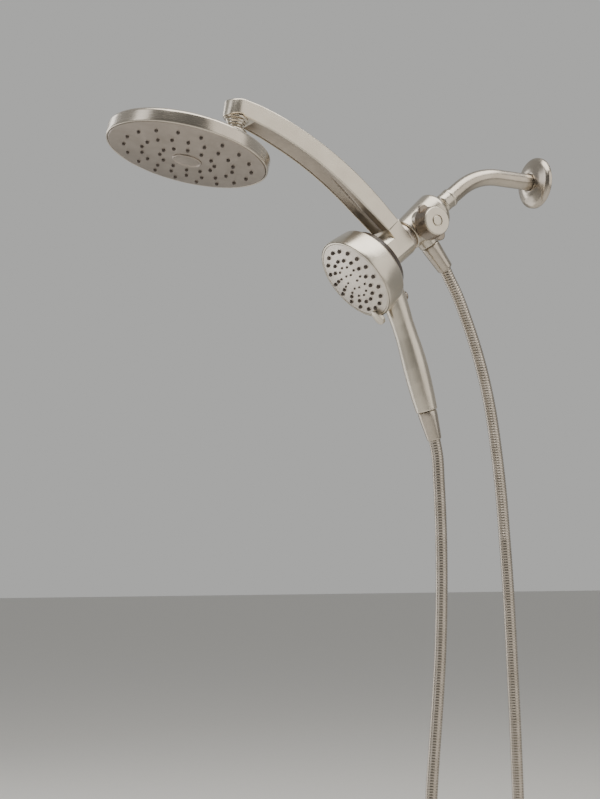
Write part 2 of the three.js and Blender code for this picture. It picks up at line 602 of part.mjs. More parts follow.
// Dark trim ring behind the barrel, open at the bottom where the handle leaves the head.
function handRearRing() {
  const band = turned([
    [REAR_RING_R - 4.7, DOCK_END + 8.2], [REAR_RING_R - 3.4, DOCK_END + 8.2], [REAR_RING_R, HAND_BARREL_BACK - FIT],
    [REAR_RING_R - 4.7, HAND_BARREL_BACK - FIT], [REAR_RING_R - 4.7, DOCK_END + 8.2],
  ], 32).applyMatrix4(MAIN);
  const grip = loft(handleSections(HANDLE_RADII.map((r) => r + FIT), 0), oval(10, 10, 14));
  return surface(solid(band).subtract(solid(grip)));
}

function handMagnetPlate() {
  return rod(13, DOCK_END + 7.4, DOCK_END + 9.4, 24).applyMatrix4(MAIN);
}

function pauseButton() {
  return turned([[0, -7.5], [6, -7.5], [6, 0.6], [5.2, 1.6], [3, 2.1], [0, 2.2]], 20).applyMatrix4(BUTTON);
}

function sprayFacePlate() {
  const f = HAND_FACE_AT;
  const spots = nozzleSpots(HAND_RINGS).map((s) => ({ ...s, size: s.size + FIT }));
  return plate(HAND_FACE_R - 1.3, 0, spots, f - 0.8, f + 1.8).applyMatrix4(MAIN);
}

function sprayNozzleMat() {
  const f = HAND_FACE_AT;
  let mat = solid(plate(HAND_FACE_R - 4, 0, [], f - 3.4, f - 1.1));
  for (const s of nozzleSpots(HAND_RINGS)) {
    mat = mat.add(solid(nozzle(s.size, f - 1.8, f + 3).translate(s.x, s.y, 0)));
  }
  return surface(mat).applyMatrix4(MAIN);
}

// Ring between the face and the barrel, with the finger tab that turns the spray setting.
function selectorRing() {
  const f = HAND_FACE_AT;
  const inner = HAND_FACE_R - 1.3 + FIT;
  const band = ring(HAND_FACE_R + 0.5, inner, f - 8, f - 0.5, 32);
  const neck = new THREE.BoxGeometry(12, 10.5, 4).translate(0, -(HAND_FACE_R + 0.8), f + 1.9);
  const foot = new THREE.BoxGeometry(12, 1.4, 4).translate(0, -(HAND_FACE_R - 0.7), f - 1);
  const tab = turned([[0, -2], [5.6, -2], [6, -1.5], [6, 1.5], [5.6, 2], [0, 2]], 16)
    .translate(0, -(HAND_FACE_R + 5.5), f + 1.9);
  const cut = rod(inner, f - 20, f + 20, 32);
  const whole = solid(band).add(solid(foot)).add(solid(neck)).add(solid(tab));
  return surface(whole.subtract(solid(cut))).applyMatrix4(MAIN);
}

function valveDisc() {
  const f = HAND_FACE_AT;
  return ring(HAND_FACE_R - 3, 5, f - 13, f - 9, 24).applyMatrix4(MAIN);
}

// ---------- hose ----------
function hoseNut(tailRadius) {
  return turned([
    [4.6, NUT_LENGTH], [tailRadius - 0.8, NUT_LENGTH], [tailRadius, NUT_LENGTH - 0.8], [NUT_R, 5], [NUT_R, 0.8],
    [NUT_R - 0.8, 0], [STUB_R + FIT, 0], [STUB_R + FIT, STUB_LENGTH + 4.5], [4.6, STUB_LENGTH + 4.5],
    [4.6, NUT_LENGTH],
  ], 18);
}

function upperHoseNut() {
  return hoseNut(NUT_TAIL_R[0]).translate(0, 0, OUTLET_END + 0.5).applyMatrix4(OUTLET_FRAME);
}

function lowerHoseNut() {
  return hoseNut(NUT_TAIL_R[1]).translate(0, 0, LOWER_NUT_GAP).applyMatrix4(HANDLE_END);
}

function nutWasher(low) {
  return ring(STUB_R - 0.4, 4.8, low + FIT, low + 3, 14);
}

function upperWasher() {
  return nutWasher(OUTLET_END + STUB_LENGTH).applyMatrix4(OUTLET_FRAME);
}

function lowerWasher() {
  return nutWasher(STUB_LENGTH).applyMatrix4(HANDLE_END);
}

// Plain tube from the face of one nut to the face of the other, hanging in a loop.
function hoseTube() {
  const start = new THREE.Vector3(0, 0, OUTLET_END + 0.5 + NUT_LENGTH + FIT).applyMatrix4(OUTLET_FRAME);
  const finish = new THREE.Vector3(0, 0, LOWER_NUT_GAP + NUT_LENGTH + FIT).applyMatrix4(HANDLE_END);
  const middle = hoseLine.map(([y, z]) => new THREE.Vector3(0, y, z));
  const path = new THREE.CatmullRomCurve3([start, ...middle, finish], false, 'centripetal');
  const startAim = new THREE.Vector3(0, 0, 1).transformDirection(OUTLET_FRAME);
  const finishAim = new THREE.Vector3(0, 0, -1).transformDirection(HANDLE_END);
  const count = 52;
  const shape = oval(HOSE_R, HOSE_R, 8);
  const rings = Array.from({ length: count + 1 }, (_, i) => {
    const p = path.getPointAt(i / count);
    let along = path.getTangentAt(i / count);
    if (i === 0) {
      along = startAim;
    }
    if (i === count) {
      along = finishAim;
    }
    const side = new THREE.Vector3(0, -along.z, along.y);
    return { p, side };
  });
  const sections = rings.map((r) => shape.map((q) => r.p.clone().addScaledVector(r.side, q.y).setX(q.x)));
  return loft(sections, shape);
}

// ---------- assembly ----------
const NODES = [
  ['wall_flange', wallFlange, 0xb9b0a4], ['supply_pipe', supplyPipe, 0xb9b0a4], ['ball_stem', ballStem, 0xb3aaa0],
  ['stem_washer', stemWasher, 0x202020], ['ball_seat', ballSeat, 0xe8e6e0], ['ball_retainer', ballRetainer, 0xa9a096],
  ['diverter_body', diverterBody, 0xb9b0a4], ['joint_ring', jointRing, 0x5a554f], ['dial_knob', dialKnob, 0xb9b0a4],
  ['dial_cap', dialCap, 0xc4bbb0], ['dial_spindle', dialSpindle, 0xb59a5a], ['arm_body', armBody, 0xb9b0a4],
  ['arm_duct', armDuct, 0x9b938a], ['dock_magnet', dockMagnet, 0x6b6b6e], ['swivel_post', swivelPost, 0xb3aaa0],
  ['head_seat', headSeat, 0xe8e6e0], ['head_ball_nut', headBallNut, 0xb3aaa0],
  ['head_back_shell', headBackShell, 0xb9b0a4], ['head_face_plate', headFacePlate, 0x8f8580],
  ['head_nozzle_mat', headNozzleMat, 0x2c2826], ['head_medallion', headMedallion, 0x9a9089],
  ['head_chamber_plate', headChamberPlate, 0x3a3a3a], ['hand_shell', handShell, 0xb9b0a4],
  ['hand_rear_ring', handRearRing, 0x1e1b19], ['hand_magnet_plate', handMagnetPlate, 0x6b6b6e],
  ['pause_button', pauseButton, 0x8a8279], ['spray_face_plate', sprayFacePlate, 0xb0a79d],
  ['spray_nozzle_mat', sprayNozzleMat, 0x24201f], ['selector_ring', selectorRing, 0xb5ada2],
  ['valve_disc', valveDisc, 0xd8d6d0], ['upper_hose_nut', upperHoseNut, 0xb9b0a4],
  ['lower_hose_nut', lowerHoseNut, 0xb9b0a4], ['upper_washer', upperWasher, 0x202020],
  ['lower_washer', lowerWasher, 0x202020], ['hose_tube', hoseTube, 0xa59c91],
];

const part = new THREE.Group();
part.name = 'shower_set';
for (const [name, make, color] of NODES) {
  const mesh = new THREE.Mesh(make(), new THREE.MeshStandardMaterial({ color, metalness: 0.4, roughness: 0.4 }));
  mesh.name = name;
  part.add(mesh);
}

export default part;
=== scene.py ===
# %% [markdown]
# # A two-in-one shower set
#
# One wall outlet feeds two showers. A bent pipe carries a diverter on a ball joint, the diverter carries an
# arched arm with a wide flat shower head, and a hand shower is docked under the arm with its metal hose
# hanging in a loop. Nearly every part is a satin nickel plated shell, so this model lives by smooth, well
# rounded surfaces that catch the light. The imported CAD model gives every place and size; the pieces here
# stand for its plain solids at the same sizes, with finer edges and real finishes.

# %% Load the frame
import math

import bpy
import bmesh
import numpy as np
from mathutils import Matrix, Vector


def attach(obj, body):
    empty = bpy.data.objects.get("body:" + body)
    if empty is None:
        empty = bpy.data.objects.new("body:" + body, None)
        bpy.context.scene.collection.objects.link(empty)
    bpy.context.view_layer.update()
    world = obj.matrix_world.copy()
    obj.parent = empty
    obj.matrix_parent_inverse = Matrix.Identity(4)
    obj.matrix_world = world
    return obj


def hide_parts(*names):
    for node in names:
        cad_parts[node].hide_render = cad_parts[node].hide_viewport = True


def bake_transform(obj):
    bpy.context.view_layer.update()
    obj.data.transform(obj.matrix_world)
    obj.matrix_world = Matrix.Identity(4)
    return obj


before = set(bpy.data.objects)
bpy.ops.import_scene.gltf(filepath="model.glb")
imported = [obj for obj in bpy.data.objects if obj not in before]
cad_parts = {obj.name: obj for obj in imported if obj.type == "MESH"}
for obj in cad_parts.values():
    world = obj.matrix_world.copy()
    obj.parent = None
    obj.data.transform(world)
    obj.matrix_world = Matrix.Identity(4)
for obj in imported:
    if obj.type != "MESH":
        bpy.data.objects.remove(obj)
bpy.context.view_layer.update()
MM = 0.001

# %% [markdown]
# ## Driving sizes
#
# All sizes are in millimetres, as on a drawing. The set hangs in the plane X = 0, so a place in that plane
# is written as (Y, Z). Along the slanting axis of the diverter, places are written as distances from the
# corner where the two straight pipe stretches would meet.

# %% Driving sizes
PIPE_R = 10.65
PIPE_STRAIGHT = 63
PIPE_BEND_R = 90
PIPE_DROP = math.radians(40)
PIPE_END = 65
FLANGE_R = 33
BALL_AT = 93
BALL_R = 12.5
BODY_START = 80
BODY_END = 139.5
CROSS_AT = 118.5
CROSS_DROP = 1.5
OUTLET_END = 28.5
JOINT_END = 147.2
DOCK_START = 147.5
DOCK_END = 186
DOCK_R = 21.5
ARM_WALL = 2.4
POST_R = 14.4
HEAD_BALL_DROP = 41
HEAD_R = 95.5
HEAD_FACE_R = 92.6
HEAD_RIM = 15
HEAD_DEPTH = 18
MEDAL_R = 17.5
HAND_FACE_AT = 235.4
HAND_R = 55
HAND_BACK_R = 51.5
HAND_BARREL_BACK = 204
HAND_FACE_R = 52.8
REAR_RING_R = 46.6
DIAL_BASE = 24
DIAL_FACE = 44.5
DIAL_R = 18.6
DIAL_BASE_R = 21
NUT_LENGTH = 36.5
NUT_R = 12
HOSE_R = 7.5
HOSE_PITCH = 3.3
HOSE_RIB = 0.6

# %% [markdown]
# ## Working frames
#
# A turned part is drawn around its own axis and then placed. Each frame's local Z runs along the part's
# axis, outward and down at a tilt from straight down, and its local X stays the world X.

# %% Working frames
def axis_frame(origin, tilt):
    """Frame at a place (Y, Z) whose Z runs down and outward, tilted by so many degrees from straight down."""
    place = Matrix.Translation((0, origin[0], origin[1]))
    return place @ Matrix.Rotation(math.pi - math.radians(tilt), 4, "X")


CORNER = -(PIPE_STRAIGHT + PIPE_BEND_R * math.tan(PIPE_DROP / 2))
MAIN = axis_frame((CORNER, 0), 50)
HEAD = axis_frame((-501.1, -26.3), 13.1)
POST = axis_frame((-434.7, 44.5), 9)
HEAD_BALL = axis_frame((POST @ Vector((0, 0, HEAD_BALL_DROP))).yz, 13.1)
DIAL = MAIN @ Matrix.Translation((0, -CROSS_DROP, CROSS_AT)) @ Matrix.Rotation(math.pi / 2, 4, "Y")
OUTLET = MAIN @ Matrix.Translation((0, 0, CROSS_AT)) @ Matrix.Rotation(math.pi / 2, 4, "X")
HANDLE_LINE = [(-231, -150), (-222.5, -166), (-216, -182), (-209, -200), (-202.2, -217.5), (-196, -235),
               (-190.3, -253), (-185, -270.5), (-179.6, -288.5), (-174, -306.5)]
HANDLE_RADII = [14, 15.5, 15, 14, 14.2, 15.2, 15.8, 15.6, 14.9, 13.6]
HANDLE_END = axis_frame(HANDLE_LINE[-1], math.degrees(math.atan2(-5.6, 18)))
BUTTON = axis_frame((-206.7, -165.9), 252)
MAIN_AXIS = (MAIN.to_3x3() @ Vector((0, 0, 1))).normalized()
HEAD_AXIS = (HEAD.to_3x3() @ Vector((0, 0, 1))).normalized()
print("the slanting axis points along", tuple(round(c, 3) for c in MAIN_AXIS))

# %% [markdown]
# ## The hose route
#
# The hose leaves the outlet straight, hangs under its own weight in one long loop, and rises to the end of
# the handle. Its length is fixed, so the route comes first: listed points with a smooth line through
# them, and the length is measured along that line.

# %% The hose route
HOSE_LINE = [
    (-139.5, -137), (-126.5, -159.5), (-112.5, -191), (-98.5, -227), (-87, -264), (-77.5, -305), (-70, -352),
    (-63.5, -405), (-59, -460), (-55, -515), (-52, -570), (-49.5, -625), (-47, -680), (-45, -735),
    (-43.5, -790),
    (-44, -840), (-51, -887), (-70, -925), (-100, -945), (-134, -938), (-159, -911), (-171.5, -868),
    (-174.5, -820),
    (-171.8, -768), (-166.8, -712), (-161.5, -655), (-157.2, -598), (-155, -540), (-154.4, -488),
    (-155.4, -436),
    (-157.3, -394), (-159.2, -362),
]
HOSE_START = OUTLET @ Vector((0, 0, OUTLET_END + 0.5 + NUT_LENGTH - 4))
HOSE_FINISH = HANDLE_END @ Vector((0, 0, 0.6 + NUT_LENGTH - 4))


def smooth_line(points, steps):
    """Centripetal Catmull-Rom line through points, with steps pieces between each two."""
    ends = [points[0] * 2 - points[1], *points, points[-1] * 2 - points[-2]]
    line = []
    for a, b, c, d in zip(ends, ends[1:], ends[2:], ends[3:]):
        t = np.cumsum([0, *(math.sqrt((q - p).length) for p, q in ((a, b), (b, c), (c, d)))])
        for k in range(steps):
            u = t[1] + (t[2] - t[1]) * k / steps
            ab = a.lerp(b, (u - t[0]) / (t[1] - t[0]))
            bc = b.lerp(c, (u - t[1]) / (t[2] - t[1]))
            cd = c.lerp(d, (u - t[2]) / (t[3] - t[2]))
            abc = ab.lerp(bc, (u - t[0]) / (t[2] - t[0]))
            bcd = bc.lerp(cd, (u - t[1]) / (t[3] - t[1]))
            line.append(abc.lerp(bcd, (u - t[1]) / (t[2] - t[1])))
    return [*line, points[-1].copy()]


hose_path = smooth_line([HOSE_START, *(Vector((0, y, z)) for y, z in HOSE_LINE), HOSE_FINISH], 8)
hose_path = [p * MM for p in hose_path]

# %% [markdown]
# ## Two small helpers
#
# Colours are written as on a paint card and turned into linear light here. Every shader and Geometry Nodes
# tree below is built with one function that adds a node.

# %% Colour and node helpers
def linear(hex_code):
    """Linear colour, with alpha, of an sRGB hex code."""
    channels = [int(hex_code[i:i + 2], 16) / 255 for i in (1, 3, 5)]
    return [c / 12.92 if c <= 0.04045 else ((c + 0.055) / 1.055) ** 2.4 for c in channels] + [1.0]


def add(tree, kind, inputs=(), **settings):
    """Adds a node, sets its properties, and fills or links its inputs."""
    node = tree.nodes.new(kind)
    for name, value in settings.items():
        setattr(node, name, value)
    for key, value in dict(inputs).items():
        if isinstance(value, bpy.types.NodeSocket):
            tree.links.new(value, node.inputs[key])
        else:
            node.inputs[key].default_value = value
    return node


print("satin nickel is", [round(c, 3) for c in linear("#cfc6ba")], "in linear light")

# %% [markdown]
# ## Camera
#
# The camera stands in front and to the right of the set, a little below the wide head, and looks slightly
# up. It is a plain pinhole view with no depth of field and no shift.

# %% Camera
camera_data = bpy.data.cameras.new("camera")
camera_data.sensor_width = 36
camera_data.lens = 1550 * 36 / 799
camera_data.clip_end = 100
camera = bpy.data.objects.new("camera", camera_data)
bpy.context.scene.collection.objects.link(camera)
yaw, pitch = math.radians(28.728), math.radians(5.828)
right = Vector((math.sin(yaw), math.cos(yaw), 0))
look = Vector((-math.cos(yaw) * math.cos(pitch), math.sin(yaw) * math.cos(pitch), math.sin(pitch)))
camera.matrix_world = Matrix.Translation((1.59383, -1.22616, -0.48662)) @ Matrix(
    (right, right.cross(look), -look)).transposed().to_4x4()
bpy.context.scene.camera = camera

# %% [markdown]
# ## Studio
#
# Satin metal shows its surroundings, so the studio is part of the finish. The panel above makes the white
# crests. A broad panel on the right and a weaker one on the left brighten the flanks, and a narrow one behind
# draws a thin bright edge. The surroundings are dimmer on the camera's side, which keeps a darker band
# down the middle of every round form. A low panel lights the two spray faces.

# %% Studio
def soft_panel(name, place, aim, size, power, colour="#ffffff"):
    """Rectangular soft light at a place in metres, turned towards the point it aims at."""
    light = bpy.data.lights.new(name, "AREA")
    light.shape = "RECTANGLE"
    light.size, light.size_y = size
    light.energy = power
    light.color = linear(colour)[:3]
    lamp = bpy.data.objects.new(name, light)
    bpy.context.scene.collection.objects.link(lamp)
    direction = Vector(aim) - Vector(place)
    lamp.matrix_world = Matrix.Translation(place) @ direction.to_track_quat("-Z", "Y").to_matrix().to_4x4()


middle = (0, -0.3, -0.15)
soft_panel("top_panel", (0.5, -0.35, 1.7), middle, (3.0, 1.7), 62, "#fffdf8")
soft_panel("right_panel", (2.2, 0.9, 0.5), middle, (2.6, 2.2), 22, "#fffaf2")
soft_panel("left_panel", (-0.2, -2.6, 0.6), middle, (0.8, 2.0), 9)
soft_panel("low_panel", (-1.6, -1.1, -0.85), middle, (1.0, 1.0), 4.5)
soft_panel("rear_panel", (-2.2, -1.1, 0.4), middle, (0.6, 1.6), 9)

world = bpy.data.worlds.new("studio")
world.use_nodes = True
sky = world.node_tree
direction = add(sky, "ShaderNodeTexCoord").outputs["Generated"]
ahead = add(sky, "ShaderNodeVectorMath", {0: direction, 1: look}, operation="DOT_PRODUCT")
strength = add(sky, "ShaderNodeMapRange", {"Value": ahead.outputs["Value"], "From Min": -0.6, "From Max": 0.6,
                                           "To Min": 0.32, "To Max": 0.95})
sky.nodes["Background"].inputs["Color"].default_value = linear("#b9b9b7")
sky.links.new(strength.outputs["Result"], sky.nodes["Background"].inputs["Strength"])
bpy.context.scene.world = world

FLOOR_Z = -1.06
floor_mesh = bpy.data.meshes.new("floor")
floor_mesh.from_pydata([(-20, -20, FLOOR_Z), (20, -20, FLOOR_Z), (20, 20, FLOOR_Z), (-20, 20, FLOOR_Z)], [],
                       [(0, 1, 2, 3)])
floor = bpy.data.objects.new("floor", floor_mesh)
bpy.context.scene.collection.objects.link(floor)

# %% [markdown]
# ## Finishes
#
# The shells are nickel plated and satin brushed: a warm grey metal whose reflections are spread by fine
# scratches. Metals keep the default IOR. The scratches are about a tenth of a millimetre wide in life, too
# fine to show here, so they are drawn several times coarser. Faint drops left by dried water dull small
# spots.

# %% Finishes
def material(name, **shader_values):
    """New material with a Principled shader, its values set on the shader's own sockets."""
    made = bpy.data.materials.new(name)
    made.use_nodes = True
    tree = made.node_tree
    shader = tree.nodes["Principled BSDF"]
    for key, value in shader_values.items():
        shader.inputs[key.replace("_", " ")].default_value = value
    return made, tree, shader


SCRATCH_MM = 0.5


def satin_nickel(name, dark, light, smooth, rough, along=None):
    """Satin nickel plate. Brushing runs round the axis given by along, or has no direction without it."""
    made, tree, shader = material(name, Metallic=1.0)
    place = add(tree, "ShaderNodeTexCoord").outputs["Object"]
    grit = 1 / (SCRATCH_MM * MM)
    if along is None:
        scratches = add(tree, "ShaderNodeTexNoise", {"Vector": place, "Scale": grit, "Detail": 3.0})
    else:
        height = add(tree, "ShaderNodeVectorMath", {0: place, 1: along}, operation="DOT_PRODUCT")
        scratches = add(tree, "ShaderNodeTexNoise",
                        {"W": height.outputs["Value"], "Scale": grit, "Detail": 3.0},
                        noise_dimensions="1D")
    clouds = add(tree, "ShaderNodeTexNoise", {"Vector": place, "Scale": 45.0, "Detail": 4.0})
    spots = add(tree, "ShaderNodeTexVoronoi", {"Vector": place, "Scale": 95.0, "Randomness": 1.0})
    drops = add(tree, "ShaderNodeMapRange", {"Value": spots.outputs["Distance"], "From Min": 0.1,
                                             "From Max": 0.22,
                                             "To Min": 0.02, "To Max": 0.0})
    ramp = add(tree, "ShaderNodeValToRGB", {"Fac": clouds.outputs["Fac"]})
    ramp.color_ramp.elements[0].color, ramp.color_ramp.elements[0].position = linear(dark), 0.3
    ramp.color_ramp.elements[1].color, ramp.color_ramp.elements[1].position = linear(light), 0.7
    spread = add(tree, "ShaderNodeMapRange", {"Value": scratches.outputs["Fac"], "From Min": 0.3,
                                              "From Max": 0.7,
                                              "To Min": smooth, "To Max": rough})
    dulled = add(tree, "ShaderNodeMath", {0: spread.outputs["Result"], 1: drops.outputs["Result"]},
                 operation="ADD")
    relief = add(tree, "ShaderNodeBump", {"Height": scratches.outputs["Fac"], "Strength": 0.06,
                                          "Distance": 0.05 * MM})
    tree.links.new(ramp.outputs["Color"], shader.inputs["Base Color"])
    tree.links.new(dulled.outputs["Value"], shader.inputs["Roughness"])
    tree.links.new(relief.outputs["Normal"], shader.inputs["Normal"])
    return made


def moulded(name, dark, light, roughness, relief_mm=0.03, grain_mm=0.6):
    """Moulded plastic or rubber: one colour with a faint cloud in it and a fine grain from the mould."""
    made, tree, shader = material(name)
    place = add(tree, "ShaderNodeTexCoord").outputs["Object"]
    grain = add(tree, "ShaderNodeTexNoise", {"Vector": place, "Scale": 1 / (grain_mm * MM), "Detail": 2.0})
    clouds = add(tree, "ShaderNodeTexNoise", {"Vector": place, "Scale": 60.0, "Detail": 3.0})
    ramp = add(tree, "ShaderNodeValToRGB", {"Fac": clouds.outputs["Fac"]})
    ramp.color_ramp.elements[0].color = linear(dark)
    ramp.color_ramp.elements[1].color = linear(light)
    spread = add(tree, "ShaderNodeMapRange", {"Value": grain.outputs["Fac"], "To Min": roughness - 0.05,
                                              "To Max": roughness + 0.05})
    relief = add(tree, "ShaderNodeBump", {"Height": grain.outputs["Fac"], "Strength": 0.3,
                                          "Distance": relief_mm * MM})
    tree.links.new(ramp.outputs["Color"], shader.inputs["Base Color"])
    tree.links.new(spread.outputs["Result"], shader.inputs["Roughness"])
    tree.links.new(relief.outputs["Normal"], shader.inputs["Normal"])
    return made


nickel_shell = satin_nickel("satin_nickel_plated_abs", "#c7bfb1", "#d1c9bb", 0.26, 0.34)
nickel_turned = satin_nickel("satin_nickel_turned_brass", "#bab2a5", "#c7bfb2", 0.22, 0.32, MAIN_AXIS)
nickel_head = satin_nickel("satin_nickel_spun_rim", "#bfb6a9", "#cbc2b5", 0.2, 0.28, HEAD_AXIS)
nickel_face = satin_nickel("satin_nickel_face_plate", "#988e84", "#a69c92", 0.3, 0.4)
nickel_hand_face = satin_nickel("satin_nickel_spray_face", "#cfc7bd", "#d9d2c8", 0.34, 0.44)
nickel_dark = satin_nickel("dark_nickel_swivel_ring", "#b9afa3", "#c6bcb1", 0.26, 0.36, MAIN_AXIS)
# Darker nickel: painted shade on the dial's drum side; the pause button is made with it too.
nickel_painted_shade = satin_nickel("nickel_plated_abs_painted_shade", "#857b71", "#92887d", 0.24, 0.34)
# The duct is coloured darker than the shell as painted shade under the arm.
nickel_duct_painted_shade = satin_nickel("satin_nickel_water_duct_painted_shade", "#968d82", "#a59c91", 0.3, 0.4)
nickel_pipe = satin_nickel("satin_nickel_bent_pipe", "#aea598", "#bbb2a6", 0.2, 0.28)
steel_hose = satin_nickel("satin_nickel_wrapped_steel_hose", "#a89f93", "#b7aea3", 0.22, 0.32)
brass = satin_nickel("turned_brass", "#a58a4f", "#b89c60", 0.25, 0.35, (1, 0, 0))
magnet_plate = satin_nickel("nickel_coated_magnet", "#8f8f91", "#9c9c9e", 0.25, 0.35)
silicone = moulded("silicone_nozzle", "#40362e", "#554a41", 0.32)
rubber = moulded("moulded_rubber_washer", "#141312", "#1e1c1b", 0.7)
# The trim's dark brown is a painted reflection of dark surroundings on the ring behind the drum.
trim_painted_dark_reflection = moulded("gloss_abs_trim_painted_dark_reflection", "#372f29", "#453b34", 0.26, 0.01)
bearing = moulded("white_acetal_bearing", "#dcdad4", "#e6e4df", 0.4)
inner_abs = moulded("black_abs_inner_plate", "#1b1b1b", "#242424", 0.5)
floor_paint = moulded("matt_pale_floor", "#eceae6", "#f0eeea", 0.8, 0.01, 8)
floor_mesh.materials.append(floor_paint)

# %% [markdown]
# ## Building blocks
#
# Most pieces are turned, so the first tool spins an outline round an axis. Real turned and moulded edges
# are never knife sharp: a corner of the outline may carry a third number, the radius of its fillet. The
# second tool puts a skin over a row of sections, for the handle and the arm.

# %% Building blocks
def rounded(outline, steps=4):
    """Outline whose corners with a third number, a fillet radius, are replaced by short curves."""
    points = []
    for i, corner in enumerate(outline):
        if len(corner) < 3 or not 0 < i < len(outline) - 1:
            points.append(Vector(corner[:2]))
            continue
        here = Vector(corner[:2])
        before, after = Vector(outline[i - 1][:2]) - here, Vector(outline[i + 1][:2]) - here
        reach = min(corner[2], 0.45 * before.length, 0.45 * after.length)
        first, last = here + before.normalized() * reach, here + after.normalized() * reach
        for k in range(steps + 1):
            t = k / steps
            points.append(first * (1 - t) ** 2 + here * 2 * t * (1 - t) + last * t ** 2)
    return points


def revolve(outline, place, steps=96):
    """Points and faces of an outline of (radius, height[, fillet]) spun round the frame's axis."""
    profile = rounded(outline)
    points, rings, faces = [], [], []
    for r, z in profile:
        if r < 1e-6:
            rings.append([len(points)] * steps)
            points.append(place @ Vector((0, 0, z)) * MM)
            continue
        rings.append(list(range(len(points), len(points) + steps)))
        turns = (2 * math.pi * k / steps for k in range(steps))
        points += [place @ Vector((r * math.cos(a), r * math.sin(a), z)) * MM for a in turns]
    for low, high in zip(rings, rings[1:]):
        for k in range(steps):
            n = (k + 1) % steps
            corners = list(dict.fromkeys((low[k], low[n], high[n], high[k])))
            if len(corners) > 2:
                faces.append(corners)
    return points, faces


def skin(sections):
    """Points and faces over a row of closed sections, with both ends closed round a middle point."""
    count = len(sections[0])
    points = [p for section in sections for p in section]
    faces = []
    for i in range(len(sections) - 1):
        for k in range(count):
            a, b = i * count + k, i * count + (k + 1) % count
            faces.append((a, b, b + count, a + count))
    for start in (0, (len(sections) - 1) * count):
        points.append(sum((points[start + k] for k in range(count)), Vector()) / count)
        faces += [(start + k, start + (k + 1) % count, len(points) - 1) for k in range(count)]
    return points, faces


def together(*shapes):
    """One list of points and faces from several."""
    points, faces = [], []
    for some_points, some_faces in shapes:
        faces += [[i + len(points) for i in face] for face in some_faces]
        points += some_points
    return points, faces


def shaded(mesh, angle=32):
    """Smooth faces, with sharp edges where two meet at more than the angle."""
    mesh.polygons.foreach_set("use_smooth", [True] * len(mesh.polygons))
    mesh.set_sharp_from_angle(angle=math.radians(angle))
    return mesh


def closed_mesh(name, shape):
    """Mesh of a shape, with its doubles merged and its faces turned outward."""
    mesh = bpy.data.meshes.new(name)
    mesh.from_pydata([tuple(p) for p in shape[0]], [], shape[1])
    work = bmesh.new()
    work.from_mesh(mesh)
    bmesh.ops.remove_doubles(work, verts=work.verts, dist=2e-6)
    bmesh.ops.recalc_face_normals(work, faces=work.faces)
    work.to_mesh(mesh)
    work.free()
    return shaded(mesh)


def shown(name, mesh, finish, body, nodes=()):
    """Puts a finished mesh in the scene as a piece that rides on a body and stands for CAD nodes."""
    piece = bpy.data.objects.new(name, mesh)
    bpy.context.scene.collection.objects.link(piece)
    mesh.materials.clear()
    mesh.materials.append(finish)
    if body:
        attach(piece, body)
    if nodes:
        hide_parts(*nodes)
    return piece


def plain_mesh(piece, name):
    """What a piece's modifiers make of it, as a plain mesh; the piece itself is removed."""
    bpy.context.view_layer.update()
    made = bpy.data.meshes.new_from_object(piece.evaluated_get(bpy.context.evaluated_depsgraph_get()))
    made.name = name
    bpy.data.objects.remove(piece)
    return made


# %% [markdown]
# ## The hose
#
# A shower hose is a steel strip wound round a rubber tube, so it shows a close row of rounded ribs. The
# ribs follow the path, which suits Geometry Nodes: the route is resampled several times per rib, its radius
# rises and falls with the distance along it, and a round section is swept along.

# %% A Geometry Nodes tree for a ribbed hose
def new_tree(name, inputs):
    """Geometry Nodes group with a geometry in and out and the named inputs, and its two end nodes."""
    tree = bpy.data.node_groups.new(name, "GeometryNodeTree")
    tree.interface.new_socket("Geometry", in_out="OUTPUT", socket_type="NodeSocketGeometry")
    tree.interface.new_socket("Geometry", in_out="INPUT", socket_type="NodeSocketGeometry")
    for title, kind in inputs:
        tree.interface.new_socket(title, in_out="INPUT", socket_type=kind)
    return tree, tree.nodes.new("NodeGroupInput"), tree.nodes.new("NodeGroupOutput")


def with_tree(piece, tree, values):
    """Adds the tree to a piece as a modifier, with each input's value set by the socket's identifier."""
    modifier = piece.modifiers.new(tree.name, "NODES")
    modifier.node_group = tree
    for socket in tree.interface.items_tree:
        if socket.in_out == "INPUT" and socket.name in values:
            modifier[socket.identifier] = values[socket.name]


